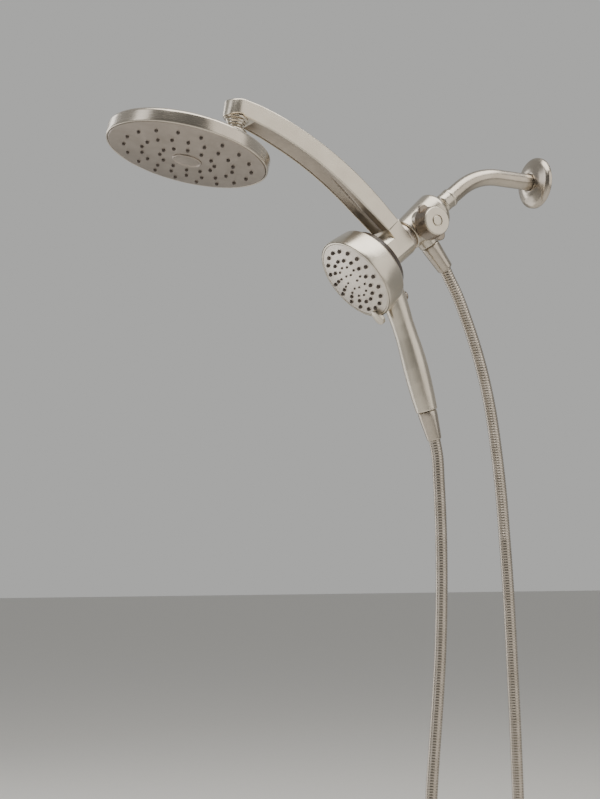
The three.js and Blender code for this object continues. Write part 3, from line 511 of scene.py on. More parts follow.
def ribbed_hose_tree():
    """Tree that sweeps a round section along a curve and lets its radius rise and fall once per rib."""
    tree, given, out = new_tree("ribbed_hose", [
        ("Radius", "NodeSocketFloat"), ("Rib pitch", "NodeSocketFloat"), ("Rib depth", "NodeSocketFloat"),
        ("Finish", "NodeSocketMaterial")])
    step = add(tree, "ShaderNodeMath", {0: given.outputs["Rib pitch"], 1: 6.0}, operation="DIVIDE")
    line = add(tree, "GeometryNodeResampleCurve", {"Curve": given.outputs["Geometry"],
                                                   "Length": step.outputs["Value"]}, mode="LENGTH")
    along = add(tree, "GeometryNodeSplineParameter")
    ribs = add(tree, "ShaderNodeMath", {0: along.outputs["Length"], 1: given.outputs["Rib pitch"]},
               operation="DIVIDE")
    phase = add(tree, "ShaderNodeMath", {0: ribs.outputs["Value"], 1: math.pi}, operation="MULTIPLY")
    wave = add(tree, "ShaderNodeMath", {0: phase.outputs["Value"]}, operation="SINE")
    hump = add(tree, "ShaderNodeMath", {0: wave.outputs["Value"]}, operation="ABSOLUTE")
    full = add(tree, "ShaderNodeMath", {0: hump.outputs["Value"], 1: 0.5}, operation="POWER")
    inset = add(tree, "ShaderNodeMath", {0: given.outputs["Radius"], 1: given.outputs["Rib depth"]},
                operation="SUBTRACT")
    swell = add(tree, "ShaderNodeMath", {0: full.outputs["Value"], 1: given.outputs["Rib depth"],
                                         2: inset.outputs["Value"]}, operation="MULTIPLY_ADD")
    section = add(tree, "GeometryNodeCurvePrimitiveCircle", {"Resolution": 14, "Radius": 1.0})
    tube = add(tree, "GeometryNodeCurveToMesh", {
        "Curve": line.outputs["Curve"], "Profile Curve": section.outputs["Curve"],
        "Scale": swell.outputs["Value"], "Fill Caps": True})
    solid = add(tree, "GeometryNodeRealizeInstances", {"Geometry": tube.outputs["Mesh"]})
    coat = add(tree, "GeometryNodeSetMaterial", {"Geometry": solid.outputs["Geometry"],
                                                 "Material": given.outputs["Finish"]})
    tree.links.new(coat.outputs["Geometry"], out.inputs["Geometry"])
    return tree


# %% Sweep the hose along its route
route = bpy.data.curves.new("hose_route", "CURVE")
route.dimensions = "3D"
spline = route.splines.new("POLY")
spline.points.add(len(hose_path) - 1)
for point, place in zip(spline.points, hose_path):
    point.co = (*place, 1)
route_piece = bpy.data.objects.new("hose_route", route)
bpy.context.scene.collection.objects.link(route_piece)
with_tree(route_piece, ribbed_hose_tree(), {"Radius": HOSE_R * MM, "Rib pitch": HOSE_PITCH * MM,
                                            "Rib depth": HOSE_RIB * MM, "Finish": steel_hose})
hose = shown("metal_hose", shaded(plain_mesh(route_piece, "metal_hose"), 60), steel_hose, None,
             ["hose_tube"])
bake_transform(hose)
print("hose faces:", len(hose.data.polygons))

# %% [markdown]
# ## Wall flange and supply pipe
#
# The flange is a spun dome that hides the hole in the wall. The pipe is one tube bent on a mandrel: it
# leaves the wall level, turns down through a wide bend, and ends in the cup of the ball joint.

# %% Flange and pipe
WALL = Matrix.Rotation(math.pi / 2, 4, "X")
flange = revolve([
    (FLANGE_R - 3, 0), (FLANGE_R, 0, 0.5), (FLANGE_R, 4.6, 1.6), (FLANGE_R - 3.5, 7.6, 1.6),
    (FLANGE_R - 8, 9.4, 4),
    (FLANGE_R - 14, 11.8, 4), (PIPE_R + 2.6, 13, 2), (PIPE_R + 0.5, 12.7, 0.5), (PIPE_R + 0.5, 8),
    (FLANGE_R - 9, 6), (FLANGE_R - 3, 3), (FLANGE_R - 3, 0)], WALL)
shown("flange_dome", closed_mesh("flange_dome", flange), nickel_pipe, "wall_set", ["wall_flange"])


def pipe_stations():
    """Middle points of the pipe with the direction along it, from the wall to the cup."""
    straight = [(Vector((0, -y, 0)), 0.0) for y in np.linspace(0.4, PIPE_STRAIGHT, 8)]
    bend = [(Vector((0, -PIPE_STRAIGHT - PIPE_BEND_R * math.sin(a), -PIPE_BEND_R * (1 - math.cos(a)))), a)
            for a in np.linspace(0, PIPE_DROP, 25)[1:]]
    rest = [(MAIN @ Vector((0, 0, s)), PIPE_DROP) for s in np.linspace(36, PIPE_END, 6)]
    return straight + bend + rest


def round_section(middle, slope, radius, count=48):
    """Circle of points square to a pipe that slopes down by an angle at this place."""
    up = Vector((0, -math.sin(slope), math.cos(slope)))
    turns = (2 * math.pi * k / count for k in range(count))
    return [(middle + up * radius * math.sin(a) + Vector((radius * math.cos(a), 0, 0))) * MM for a in turns]


pipe = skin([round_section(p, a, PIPE_R) for p, a in pipe_stations()])
shown("bent_pipe", closed_mesh("bent_pipe", pipe), nickel_pipe, "wall_set", ["supply_pipe"])

# %% [markdown]
# ## Ball joint
#
# The cup screws on to the pipe and ends in a ball. The retainer nut closes round the ball, and the
# diverter's shell swings with it. Only the cup, its lip and a glimpse of the ball show behind the body.

# %% Cup, ball and retainer
STEM_NECK_R = 8.6
STEM_BORE_R = 5
reach = math.sqrt(BALL_R ** 2 - STEM_NECK_R ** 2)
ball_arc = [(BALL_R * math.sin(a), BALL_AT + BALL_R * math.cos(a))
            for a in np.linspace(math.atan2(STEM_NECK_R, -reach),
                                 math.atan2(STEM_BORE_R, math.sqrt(BALL_R ** 2 - STEM_BORE_R ** 2)), 20)]
cup = revolve([
    (PIPE_R + 0.05, 52.5), (12.1, 52.5, 0.5), (12.1, 56.3, 0.4), (11.6, 57.2, 0.4), (11.6, 69.2, 1.2),
    (STEM_NECK_R, 72.5, 1), *ball_arc, (STEM_BORE_R, PIPE_END + 2.4), (PIPE_R + 0.05, PIPE_END + 2.4),
    (PIPE_R + 0.05, 52.5)], MAIN)
shown("ball_cup", closed_mesh("ball_cup", cup), nickel_turned, "wall_set", ["ball_stem"])

lip_arc = [((BALL_R + 0.3) * math.sin(a), BALL_AT + (BALL_R + 0.3) * math.cos(a))
           for a in np.radians(np.linspace(94, 128, 10))]
retainer = revolve([
    (11.7, BODY_START + 1.5), (18.4, BODY_START + 1.5, 0.6), (18.4, BALL_AT + 1.5), (13, BALL_AT + 1.5),
    *lip_arc,
    (11.7, BODY_START + 1.5)], MAIN)
shown("ball_retainer_nut", closed_mesh("ball_retainer_nut", retainer), nickel_turned, "diverter",
      ["ball_retainer"])

# %% [markdown]
# ## Diverter body
#
# A short tapered drum with a boss on its side for the dial and a neck below for the hose. Its front end
# steps down into a swivel ring, which meets the arm's block.

# %% Diverter body
drum = revolve([
    (18.8, BODY_START + 1), (18.8, BODY_START, 0.3), (21.5, BODY_START, 1.5), (24.5, BODY_START + 4.4, 3),
    (20.4, BODY_END - 0.8, 1), (19, BODY_END), (12, BODY_END), (12, BALL_AT + 14.2), (15.7, BALL_AT + 14),
    (15.7, BALL_AT + 2), (18.8, BALL_AT + 1.9), (18.8, BODY_START + 1)], MAIN, 128)
side_boss = revolve([
    (0, 6), (DIAL_BASE_R - 1.5, 6), (DIAL_BASE_R - 1.5, DIAL_BASE - 1.2, 0.6),
    (DIAL_BASE_R - 2.4, DIAL_BASE - 0.4),
    (0, DIAL_BASE - 0.4)], DIAL, 128)
hose_neck = revolve([
    (0, 10), (14.2, 12), (12.9, 23), (12.6, OUTLET_END - 0.9, 0.8), (11.6, OUTLET_END), (9, OUTLET_END),
    (9, OUTLET_END + 10), (0, OUTLET_END + 10)], OUTLET)
diverter = together(drum, side_boss, hose_neck)
shown("diverter_drum", closed_mesh("diverter_drum", diverter), nickel_turned, "diverter", ["diverter_body"])
swivel_ring = revolve([
    (12, BODY_END + 0.3), (17.6, BODY_END + 0.3), (17.6, BODY_END + 1.6, 0.3), (19.2, BODY_END + 2.2, 0.6),
    (19.8, BODY_END + 3.6, 0.6), (19.8, JOINT_END - 0.6, 0.6), (19.2, JOINT_END + 0.2), (12, JOINT_END + 0.2),
    (12, BODY_END + 0.3)], MAIN, 128)
shown("swivel_ring", closed_mesh("swivel_ring", swivel_ring), nickel_dark, "diverter", ["joint_ring"])

# %% [markdown]
# ## The dial
#
# The user turns a thick round knob with two short wings, so it can be gripped with wet hands. Its body is
# coloured darker than the plate on its face as painted shade. A small cap in the middle hides the screw, with
# a groove round it.

# %% Dial
def slab(outline, low, high, edge, place):
    """Flat plate with an outline of (x, y) points about its middle, and edges rounded by edge."""
    def layer(inset, z):
        longest = max(math.hypot(x, y) for x, y in outline)
        scale = 1 - inset / longest
        return [(place @ Vector((x * scale, y * scale, z))) * MM for x, y in outline]
    turns = np.linspace(0, math.pi / 2, 5)
    lower = [layer(edge * (1 - math.sin(a)), low + edge * (1 - math.cos(a))) for a in turns]
    upper = [layer(edge * (1 - math.cos(a)), high - edge * (1 - math.sin(a))) for a in turns]
    return skin(lower + upper)


def stadium(half_width, top, bottom, steps=16):
    """Outline with straight sides and round ends, from (0, bottom) to (0, top)."""
    upper = [(half_width * math.cos(a), top - half_width + half_width * math.sin(a))
             for a in np.linspace(0, math.pi, steps)]
    lower = [(half_width * math.cos(a), bottom + half_width + half_width * math.sin(a))
             for a in np.linspace(math.pi, 2 * math.pi, steps)]
    return upper + lower


knob = revolve([
    (0, DIAL_BASE), (DIAL_BASE_R - 0.4, DIAL_BASE, 0.4), (DIAL_BASE_R, DIAL_BASE + 1.6, 0.8),
    (DIAL_BASE_R - 0.8, DIAL_BASE + 5, 2), (DIAL_R - 0.4, DIAL_FACE - 2.8, 0.3), (0, DIAL_FACE - 2.8)],
    DIAL, 128)
wings = slab(stadium(6.6, 25.5, -25.5), DIAL_BASE + 3.6, DIAL_BASE + 9.4, 1.4, DIAL)
# The dial body takes the darker nickel as painted shade.
shown("dial_with_wings", closed_mesh("dial_with_wings", together(knob, wings)), nickel_painted_shade, "dial",
      ["dial_knob"])
dial_face = revolve([
    (0, DIAL_FACE - 3), (DIAL_R - 1, DIAL_FACE - 3), (DIAL_R - 1, DIAL_FACE - 1.2, 0.8),
    (DIAL_R - 2, DIAL_FACE, 0.5),
    (7.2, DIAL_FACE, 0.3), (6.9, DIAL_FACE - 1.4), (0, DIAL_FACE - 1.4)], DIAL, 128)
shown("dial_face_plate", closed_mesh("dial_face_plate", dial_face), nickel_shell, "dial", ["dial_knob"])
screw_cap = revolve([
    (0, DIAL_FACE - 2.6), (6.1, DIAL_FACE - 2.6), (6.1, DIAL_FACE + 0.2, 0.6), (4.4, DIAL_FACE + 0.5, 1),
    (0, DIAL_FACE + 0.6)], DIAL, 48)
shown("dial_screw_cap", closed_mesh("dial_screw_cap", screw_cap), nickel_shell, "dial", ["dial_cap"])

# %% [markdown]
# ## The arched arm
#
# The arm is one moulded shell: a broad top, straight sides and an open underside, closed by the water
# duct: a shallow cove between the sides that swells into a belly near the block. Its outer end is a half
# round over the swivel post, and its inner end runs down into the dock block, where the blade, its foot and
# the block meet in crisp lines.

# %% Arm sections
ARM_TOP = [(-453, 45.6), (-444, 46.6), (-434.5, 46.3), (-429, 45), (-416, 41.9), (-403, 37.9), (-389.5, 33.1),
           (-363, 21.8), (-336, 8.5), (-308, -8), (-280, -27.4), (-252, -50.6), (-225, -76)]
ARM_HEIGHTS = [18.6, 18.6, 18.6, 20.6, 22, 22.4, 22.4, 22.6, 22.9, 23.2, 23.6, 23, 20.5]
ARM_HALF, ARM_END_HALF = 19, 17

crest = smooth_line([Vector((0, y, z)) for y, z in ARM_TOP], 8)
crest_run = np.cumsum([0, *((b - a).length for a, b in zip(crest, crest[1:]))])
knots_run = crest_run[::8]
end_middle = knots_run[2]


def on_crest(run):
    """Point on the crest line at a distance along it, and the direction down through the arm there."""
    place = Vector([np.interp(run, crest_run, [p[k] for p in crest]) for k in range(3)])
    window = 7
    ahead = Vector([np.interp(run + window, crest_run, [p[k] for p in crest]) for k in range(3)])
    behind = Vector([np.interp(run - window, crest_run, [p[k] for p in crest]) for k in range(3)])
    along = (ahead - behind).normalized()
    return place, Vector((0, along.z, -along.y))


def arm_section(run):
    """Closed U section of the arm; it is solid under the round outer end."""
    place, down = on_crest(max(run, end_middle))
    place = on_crest(run)[0]
    height = np.interp(run, knots_run, ARM_HEIGHTS)
    if run < end_middle:
        half = max(0.2, math.sqrt(max(0, ARM_END_HALF ** 2 - (end_middle - run) ** 2)))
    else:
        half = np.interp(run, [end_middle, end_middle + 60], [ARM_END_HALF, ARM_HALF])
    channel = (height - ARM_WALL) * np.interp(run, [knots_run[4] + 2, knots_run[4] + 5], [0.002, 1])
    inner = max(half - ARM_WALL, half * 0.2)
    soft = min(2.2, half * 0.3)
    corner = [(half - soft + soft * math.sin(a), soft - soft * math.cos(a))
              for a in np.linspace(0, math.pi / 2, 5)]
    side = [(half, height * 0.5), (half, height - 1.2 * soft / 2.2), (half - 1 * soft / 2.2, height),
            (inner, height),
            (inner, height - channel * 0.5),
            (inner, height - channel * 0.9), (inner * 0.9, height - channel), (0, height - channel)]
    right_half = [(0, -0.5 * min(1, half / 17)), (half * 0.6, -0.25), *corner, *side]
    outline = right_half + [(-x, d) for x, d in reversed(right_half[1:-1])]
    return [(place + down * d + Vector((x, 0, 0))) * MM for x, d in outline]


tip_runs = [end_middle - ARM_END_HALF * math.cos(a) for a in np.linspace(0.02, math.pi / 2, 16)]
blade = skin([arm_section(run) for run in [*tip_runs,
                                           *np.linspace(end_middle + 1.5, crest_run[-1] + 2, 110)]])

ARM_FOOT = [(147.6, -8), (173, -8), (167.5, 6.6), (168.6, 24.5), (147.6, 26)]


def foot_layer(x, inset):
    """Side outline of the arm's foot at a distance x from the middle plane."""
    middle = Vector((158, 8))
    corners = (Vector(c) for c in ARM_FOOT)
    return [(MAIN @ Vector((x, (c + (middle - c) * inset).y,
                            (c + (middle - c) * inset).x))) * MM for c in corners]


foot = skin([foot_layer(-ARM_HALF, 0.05), foot_layer(-ARM_HALF + 1, 0), foot_layer(ARM_HALF - 1, 0),
             foot_layer(ARM_HALF, 0.05)])
block = revolve([
    (0, DOCK_START), (DOCK_R, DOCK_START, 0.8), (DOCK_R, DOCK_END - 1.5, 0.6), (DOCK_R - 1.2, DOCK_END, 0.4),
    (15.3, DOCK_END, 0.5), (15.3, DOCK_END - 6.4), (0, DOCK_END - 6.4)], MAIN, 128)


BLOCK_HALF = 18.9 * MM
flat_block = ([Vector((max(-BLOCK_HALF, min(BLOCK_HALF, p.x)), p.y, p.z)) for p in block[0]], block[1])
arm = shown("arched_arm", closed_mesh("arched_arm", together(blade, foot, flat_block)), nickel_shell,
            "diverter",
            ["arm_body"])
print("arm faces:", len(arm.data.polygons))

# %% Water duct under the arm
def duct_section(run):
    """Section of the duct: a cove as wide as the channel, and a round belly that grows towards the block."""
    place, down = on_crest(run)
    height = np.interp(run, knots_run, ARM_HEIGHTS)
    half = np.interp(run, [end_middle, end_middle + 60], [ARM_END_HALF, ARM_HALF]) - ARM_WALL - 0.15
    belly = 6 * np.interp(run, [0.55 * crest_run[-1], 0.85 * crest_run[-1]], [0, 1])
    lower = [(x, height - 1.6 - 7 * (1 - (x / half) ** 2) + belly * math.exp(-(x / 6) ** 2))
             for x in np.linspace(half, -half, 33)]
    outline = [(-half, ARM_WALL + 2), (half, ARM_WALL + 2), *lower]
    return [(place + down * d + Vector((x, 0, 0))) * MM for x, d in outline]


duct = skin([duct_section(run) for run in np.linspace(knots_run[4] + 2.2, crest_run[-1] + 1.5, 90)])
# The duct's darker nickel is painted shade.
shown("arm_water_duct", closed_mesh("arm_water_duct", duct), nickel_duct_painted_shade, "diverter", ["arm_duct"])

# %% [markdown]
# ## Swivel post and ball nut
#
# Under the arm's end the wide head hangs on a short post with stepped collars. The post ends in a ball,
# held by a nut in the head's back, so the head can be tipped a few degrees each way.

# %% Post and nut
POST_BALL_R = 10
POST_NECK_R = 6
POST_BORE_R = 3.5
ball_reach = math.sqrt(POST_BALL_R ** 2 - POST_NECK_R ** 2)
bore_reach = math.sqrt(POST_BALL_R ** 2 - POST_BORE_R ** 2)
post_ball = [(POST_BALL_R * math.sin(a), HEAD_BALL_DROP + POST_BALL_R * math.cos(a))
             for a in np.linspace(math.atan2(POST_NECK_R, -ball_reach), math.atan2(POST_BORE_R, bore_reach),
                                  20)]
post = revolve([
    (POST_BORE_R, 8), (5.9, 8), (5.9, 17.6), (POST_R, 17.6, 0.3), (POST_R + 0.6, 19, 0.6),
    (POST_R + 0.4, 21, 0.8),
    (POST_R - 2.4, 22.2, 0.4), (POST_R - 2.6, 24, 0.6), (10.6, 24.9, 0.8), (10.3, 27.2, 0.6), (8.6, 28, 0.6),
    (8.4, 30, 0.5), (POST_NECK_R, 30.6, 0.3), *post_ball,
    (POST_BORE_R, 8)], POST)
shown("swivel_post_steps", closed_mesh("swivel_post_steps", post), nickel_turned, "diverter",
      ["swivel_post"])
nut_lip = [(10.3 * math.sin(a), 10.3 * math.cos(a)) for a in np.radians(np.linspace(97, 128, 8))]
ball_nut = revolve([
    (9, -8.5), (13.2, -8.5, 0.8), (14.6, -6.6, 0.8), (14.6, 1.7), (10.7, 1.7), *nut_lip, (9, -8.5)],
    HEAD_BALL)
shown("head_nut", closed_mesh("head_nut", ball_nut), nickel_turned, "rain_head", ["head_ball_nut"])

# %% [markdown]
# ## The wide head
#
# A spun dish with a plain deep rim. Its face is a separate plate, bowed out a little, with soft rubber
# nozzles in rings that stand through it and a round medallion in the middle.

# %% Dish, face and medallion
ball_in_head = HEAD.inverted() @ (POST @ Vector((0, 0, HEAD_BALL_DROP)))
boss_place = HEAD @ Matrix.Translation((0, ball_in_head.y, 0))
dish = revolve([
    (0, -HEAD_DEPTH - 4), (50, -HEAD_DEPTH - 2.6, 20), (80, -HEAD_DEPTH - 0.6, 10),
    (HEAD_R - 2.6, -HEAD_DEPTH + 1.4, 2),
    (HEAD_R, -HEAD_RIM + 1, 1.6), (HEAD_R, -7, 6), (HEAD_R - 0.1, -0.8, 0.9), (HEAD_R - 1.2, 0.4, 0.6),
    (HEAD_FACE_R + 0.5, 0.1, 0.4), (HEAD_FACE_R + 0.4, -6), (50, -HEAD_DEPTH), (0, -HEAD_DEPTH - 1.8)],
    HEAD, 192)
boss_top = ball_in_head.z
boss = revolve([
    (13, -HEAD_DEPTH - 1), (27, -HEAD_DEPTH - 1), (25, -HEAD_DEPTH - 5, 4), (19, boss_top + 2, 2),
    (17.2, boss_top, 0.8), (15, boss_top, 0.5), (14.9, boss_top + 2.4), (13.6, boss_top + 2.8),
    (13, -HEAD_DEPTH - 1)],
    boss_place)
shown("spun_dish", closed_mesh("spun_dish", together(dish, boss)), nickel_head, "rain_head",
      ["head_back_shell"])

FACE_BOW = 5.2
FACE_SHIFT = 1.6
FACE_MIDDLE = HEAD @ Matrix.Translation((0, -FACE_SHIFT, 0))


def bowed(radius, edge_radius, bow):
    """Height of a bowed face at a distance from its middle."""
    return bow * (1 - (radius / edge_radius) ** 2)


face_curve = [(r, 0.6 + bowed(r, HEAD_FACE_R, FACE_BOW)) for r in np.linspace(0, HEAD_FACE_R - 0.6, 28)]
face = revolve([(0, -2), *face_curve, (HEAD_FACE_R, 0, 0.4), (HEAD_FACE_R, -2), (0, -2)],
               HEAD, 128)
shown("face_disc", closed_mesh("face_disc", face), nickel_face, "rain_head", ["head_face_plate"])
medallion = revolve([
    (0, 3), (MEDAL_R, 3), (MEDAL_R, 6.6, 0.8), (MEDAL_R - 1.6, 7.2, 0.7), (MEDAL_R - 3, 6.2, 1),
    (MEDAL_R - 8, 6, 3),
    (0, 5.9)], FACE_MIDDLE)
shown("medallion_disc", closed_mesh("medallion_disc", medallion), nickel_face, "rain_head",
      ["head_medallion"])

# %% [markdown]
# ## Rings of nozzles
#
# Every nozzle is the same small cone, repeated round a ring, and that is a job for Geometry Nodes: a circle
# with one point for each nozzle, an instance on each point, and one modifier for each ring.

# %% A Geometry Nodes tree for a ring of nozzles
def nozzle_ring_tree():
    """Tree that puts one copy of the nozzle on each point of a ring and adds them to what came in."""
    tree, given, out = new_tree("nozzle_ring", [
        ("Count", "NodeSocketInt"), ("Ring radius", "NodeSocketFloat"), ("Height", "NodeSocketFloat"),
        ("Turn", "NodeSocketFloat"), ("Size", "NodeSocketFloat"), ("Nozzle", "NodeSocketObject"),
        ("Finish", "NodeSocketMaterial")])
    circle = add(tree, "GeometryNodeMeshCircle", {"Vertices": given.outputs["Count"],
                                                  "Radius": given.outputs["Ring radius"]})
    turn = add(tree, "ShaderNodeCombineXYZ", {"Z": given.outputs["Turn"]})
    lift = add(tree, "ShaderNodeCombineXYZ", {"Z": given.outputs["Height"]})
    ring = add(tree, "GeometryNodeTransform", {"Geometry": circle.outputs["Mesh"],
                                               "Translation": lift.outputs["Vector"],
                                               "Rotation": turn.outputs["Vector"]})
    nozzle = add(tree, "GeometryNodeObjectInfo", {"Object": given.outputs["Nozzle"]})
    copies = add(tree, "GeometryNodeInstanceOnPoints", {
        "Points": ring.outputs["Geometry"], "Instance": nozzle.outputs["Geometry"],
        "Scale": given.outputs["Size"]})
    solid = add(tree, "GeometryNodeRealizeInstances", {"Geometry": copies.outputs["Instances"]})
    coat = add(tree, "GeometryNodeSetMaterial", {"Geometry": solid.outputs["Geometry"],
                                                 "Material": given.outputs["Finish"]})
    join = add(tree, "GeometryNodeJoinGeometry")
    tree.links.new(given.outputs["Geometry"], join.inputs["Geometry"])
    tree.links.new(coat.outputs["Geometry"], join.inputs["Geometry"])
    tree.links.new(join.outputs["Geometry"], out.inputs["Geometry"])
    return tree


nozzle_rings = nozzle_ring_tree()


def nozzle_field(name, rings, place, outline, finish):
    """Mesh of all the nozzles on a face: rings of (count, ring radius, height, turn in degrees, size)."""
    shape = closed_mesh("one_nozzle", revolve(outline, Matrix(), 14))
    one = bpy.data.objects.new("one_nozzle", shape)
    field = bpy.data.objects.new(name, bpy.data.meshes.new(name))
    for item in (one, field):
        bpy.context.scene.collection.objects.link(item)
    for count, radius, height, turn, size in rings:
        with_tree(field, nozzle_rings, {
            "Count": count, "Ring radius": radius * MM, "Height": height * MM, "Turn": math.radians(turn),
            "Size": size, "Nozzle": one, "Finish": finish})
    mesh = plain_mesh(field, name)
    bpy.data.objects.remove(one)
    move = place.copy()
    move.translation = move.translation * MM
    mesh.transform(move)
    return shaded(mesh)


NOZZLE = [(0, -3), (2.3, -3), (2.3, 0.1), (2.05, 0.9, 0.3), (1.7, 2, 0.35), (0.8, 2.1, 0.1), (0.7, 1.4),
          (0, 1.3)]
HEAD_RINGS = [(18, 75, -6.5), (18, 54, 4), (12, 32, -6)]
head_rings = [(n, r, 0.6 + bowed(r, HEAD_FACE_R, FACE_BOW), turn, 1.0) for n, r, turn in HEAD_RINGS]
shown("wide_face_nozzles", nozzle_field("wide_face_nozzles", head_rings, FACE_MIDDLE, NOZZLE, silicone),
      silicone,
      "rain_head", ["head_nozzle_mat"])

# %% [markdown]
# ## Hand shower
#
# The head is a short drum with a rim, a trim ring behind it coloured dark as a painted reflection, and a
# domed back that meets the dock. The handle grows out of the back in one flowing form, so back and handle are
# melted together into one skin. That is done by a remesh, with a few rounds of smoothing that soften the
# inner corner.

# %% Melting shapes together
def melted(name, shapes, voxel_mm, smooth_steps):
    """Closed shapes that overlap, as one skin with soft inner corners."""
    raw = bpy.data.objects.new(name, closed_mesh(name, together(*shapes)))
    bpy.context.scene.collection.objects.link(raw)
    remesh = raw.modifiers.new("melt", "REMESH")
    remesh.mode = "VOXEL"
    remesh.voxel_size = voxel_mm * MM
    remesh.use_smooth_shade = True
    smooth = raw.modifiers.new("soften", "SMOOTH")
    smooth.factor = 0.5
    smooth.iterations = smooth_steps
    return shaded(plain_mesh(raw, name), 60)


# %% Drum, trim ring and grip
front = HAND_FACE_AT
barrel = revolve([
    (REAR_RING_R - 4.6, HAND_BARREL_BACK), (HAND_BACK_R - 1.8, HAND_BARREL_BACK, 0.6),
    (HAND_BACK_R, HAND_BARREL_BACK + 1.8, 1.6), (HAND_R - 0.4, front - 9, 8), (HAND_R, front - 2.2, 1.6),
    (HAND_R - 0.3, front + 0.2, 0.4), (HAND_FACE_R + 1.6, front + 0.2, 0.2), (HAND_FACE_R + 1.4, front - 9),
    (HAND_BACK_R - 4, HAND_BARREL_BACK + 5), (REAR_RING_R - 4.6, HAND_BARREL_BACK + 4),
    (REAR_RING_R - 4.6, HAND_BARREL_BACK)], MAIN, 160)
shown("hand_drum", closed_mesh("hand_drum", barrel), nickel_shell, "handset", ["hand_shell"])
trim = revolve([
    (REAR_RING_R - 5.2, DOCK_END + 8.2), (REAR_RING_R - 4.8, DOCK_END + 8.2),
    (REAR_RING_R - 4, DOCK_END + 9.4, 1),
    (REAR_RING_R + 0.4, HAND_BARREL_BACK - 0.4, 0.3), (REAR_RING_R - 5.2, HAND_BARREL_BACK - 0.4),
    (REAR_RING_R - 5.2, DOCK_END + 8.2)], MAIN, 128)
# Dark colour on the trim ring: painted reflection.
shown("dark_trim_ring", closed_mesh("dark_trim_ring", trim), trim_painted_dark_reflection, "handset", ["hand_rear_ring"])

dome = revolve([
    (0, DOCK_END + 0.8), (20, DOCK_END + 0.8, 3), (32, DOCK_END + 3.6, 8), (REAR_RING_R - 5, DOCK_END + 8, 1),
    (REAR_RING_R - 5, HAND_BARREL_BACK + 1), (HAND_BACK_R - 5, HAND_BARREL_BACK + 2),
    (HAND_BACK_R - 5, front - 14),
    (0, front - 14)], MAIN, 128)
grip_line = smooth_line([Vector((0, y, z)) for y, z in HANDLE_LINE], 5)
grip_radii = np.interp(np.arange(len(grip_line)) / 5, np.arange(len(HANDLE_RADII)), HANDLE_RADII)


def grip_section(index):
    """Slightly flattened circle square to the handle's line at one of its points."""
    middle = grip_line[index]
    along = (grip_line[min(index + 1, len(grip_line) - 1)] - grip_line[max(index - 1, 0)]).normalized()
    side = Vector((0, -along.z, along.y))
    turns = (2 * math.pi * k / 48 for k in range(48))
    return [(middle + side * grip_radii[index] * math.sin(a)
             + Vector((0.96 * grip_radii[index] * math.cos(a), 0, 0))) * MM for a in turns]


grip = skin([grip_section(i) for i in range(len(grip_line))])
stub = revolve([(0, -2), (8.6, -2), (8.6, 11), (0, 11)], HANDLE_END, 48)
shown("hand_back_and_grip", melted("hand_back_and_grip", [dome, grip, stub], 0.85, 6), nickel_shell,
      "handset",
      ["hand_shell"])

# %% Pause button
button = revolve([(0, -7.5), (6, -7.5), (6, 2.2, 0.4), (5, 3.6, 1), (2.6, 4, 1), (0, 4)], BUTTON, 40)
shown("pause_button_cap", closed_mesh("pause_button_cap", button), nickel_painted_shade, "pause", ["pause_button"])

# %% [markdown]
# ## Spray face
#
# The face turns as a whole when the tab at its lower edge is pushed. It carries four rings of nozzles, the
# inner ones smaller, for the narrow spray.

# %% Spray face, ring with tab and nozzles
SPRAY_BOW = 4.4
edge = HAND_FACE_R - 1.3
spray_curve = [(r, front + 0.5 + bowed(r, edge, SPRAY_BOW)) for r in np.linspace(0, edge - 0.6, 20)]
spray_face = revolve([(0, front - 2), *spray_curve, (edge, front, 0.3), (edge, front - 2),
                      (0, front - 2)][::-1],
                     MAIN, 128)
shown("spray_disc", closed_mesh("spray_disc", spray_face), nickel_hand_face, "selector", ["spray_face_plate"])
setting_ring = revolve([
    (edge + 0.3, front - 8), (HAND_FACE_R + 0.9, front - 8), (HAND_FACE_R + 0.9, front + 0.4, 0.3),
    (edge + 0.3, front + 0.6), (edge + 0.3, front - 8)], MAIN, 128)
TAB_AT = 54
tab_place = MAIN @ Matrix.Translation((0, -TAB_AT, 0))
tab = slab(stadium(7.2, 9.6, -10.3), front - 0.2, front + 6, 1.6, tab_place)
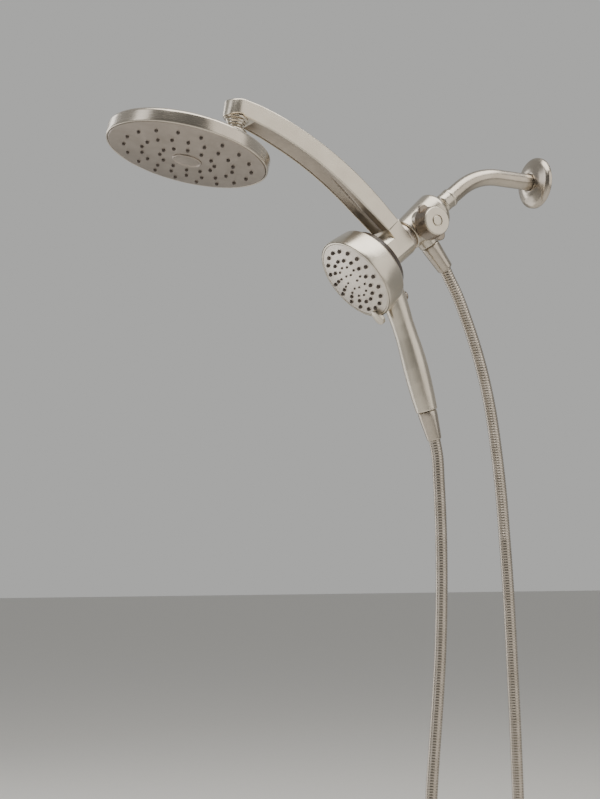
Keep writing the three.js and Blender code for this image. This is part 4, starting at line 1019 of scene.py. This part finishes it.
shown("setting_ring_with_tab", closed_mesh("setting_ring_with_tab", together(setting_ring, tab)),
      nickel_shell,
      "selector", ["selector_ring"])
HAND_RINGS = [(18, 42, -3, 1.17), (15, 30, 2, 1.09), (12, 21, -20, 0.7), (6, 10.5, 0, 0.65)]
hand_rings = [(n, r, front + 0.5 + bowed(r, edge, SPRAY_BOW), turn, size) for n, r, turn, size in HAND_RINGS]
shown("spray_nozzles", nozzle_field("spray_nozzles", hand_rings, MAIN, NOZZLE, silicone), silicone,
      "selector",
      ["spray_nozzle_mat"])

# %% [markdown]
# ## Hose nuts
#
# Both ends of the hose have a long tapered nut that is done up by hand. Only the gap between the nut and
# what it screws on to shows.

# %% Hose nuts
def hose_nut(tail_radius, place, z):
    """Tapered hose nut that starts at z along the axis of its place and narrows to its tail."""
    return revolve([
        (9.5, z), (NUT_R - 0.9, z, 0.3), (NUT_R, z + 0.9, 0.6), (NUT_R, z + 5.2, 2),
        (tail_radius, z + 35.2, 1),
        (tail_radius - 1, z + NUT_LENGTH, 0.6), (HOSE_R + 0.15, z + NUT_LENGTH, 0.3),
        (HOSE_R + 0.15, z + 20), (9.5, z + 16), (9.5, z)], place, 72)


shown("outlet_nut", closed_mesh("outlet_nut", hose_nut(10, OUTLET, OUTLET_END + 0.5)), nickel_pipe,
      "upper_nut",
      ["upper_hose_nut"])
shown("handle_nut", closed_mesh("handle_nut", hose_nut(9, HANDLE_END, 0.6)), nickel_pipe, "lower_nut",
      ["lower_hose_nut"])

# %% [markdown]
# ## Inner pieces
#
# The washers, bearings, magnets and plates inside come straight from the CAD model: their shape is right as
# it is, and each gets its own finish.

# %% Finishes for the inner pieces
INNER = {
    "stem_washer": rubber, "upper_washer": rubber, "lower_washer": rubber, "ball_seat": bearing,
    "head_seat": bearing, "valve_disc": bearing, "dial_spindle": brass, "dock_magnet": magnet_plate,
    "hand_magnet_plate": magnet_plate, "head_chamber_plate": inner_abs,
}
for node_name, finish in INNER.items():
    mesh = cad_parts[node_name].data
    mesh.materials.clear()
    mesh.materials.append(finish)
    print(node_name, "gets", finish.name)
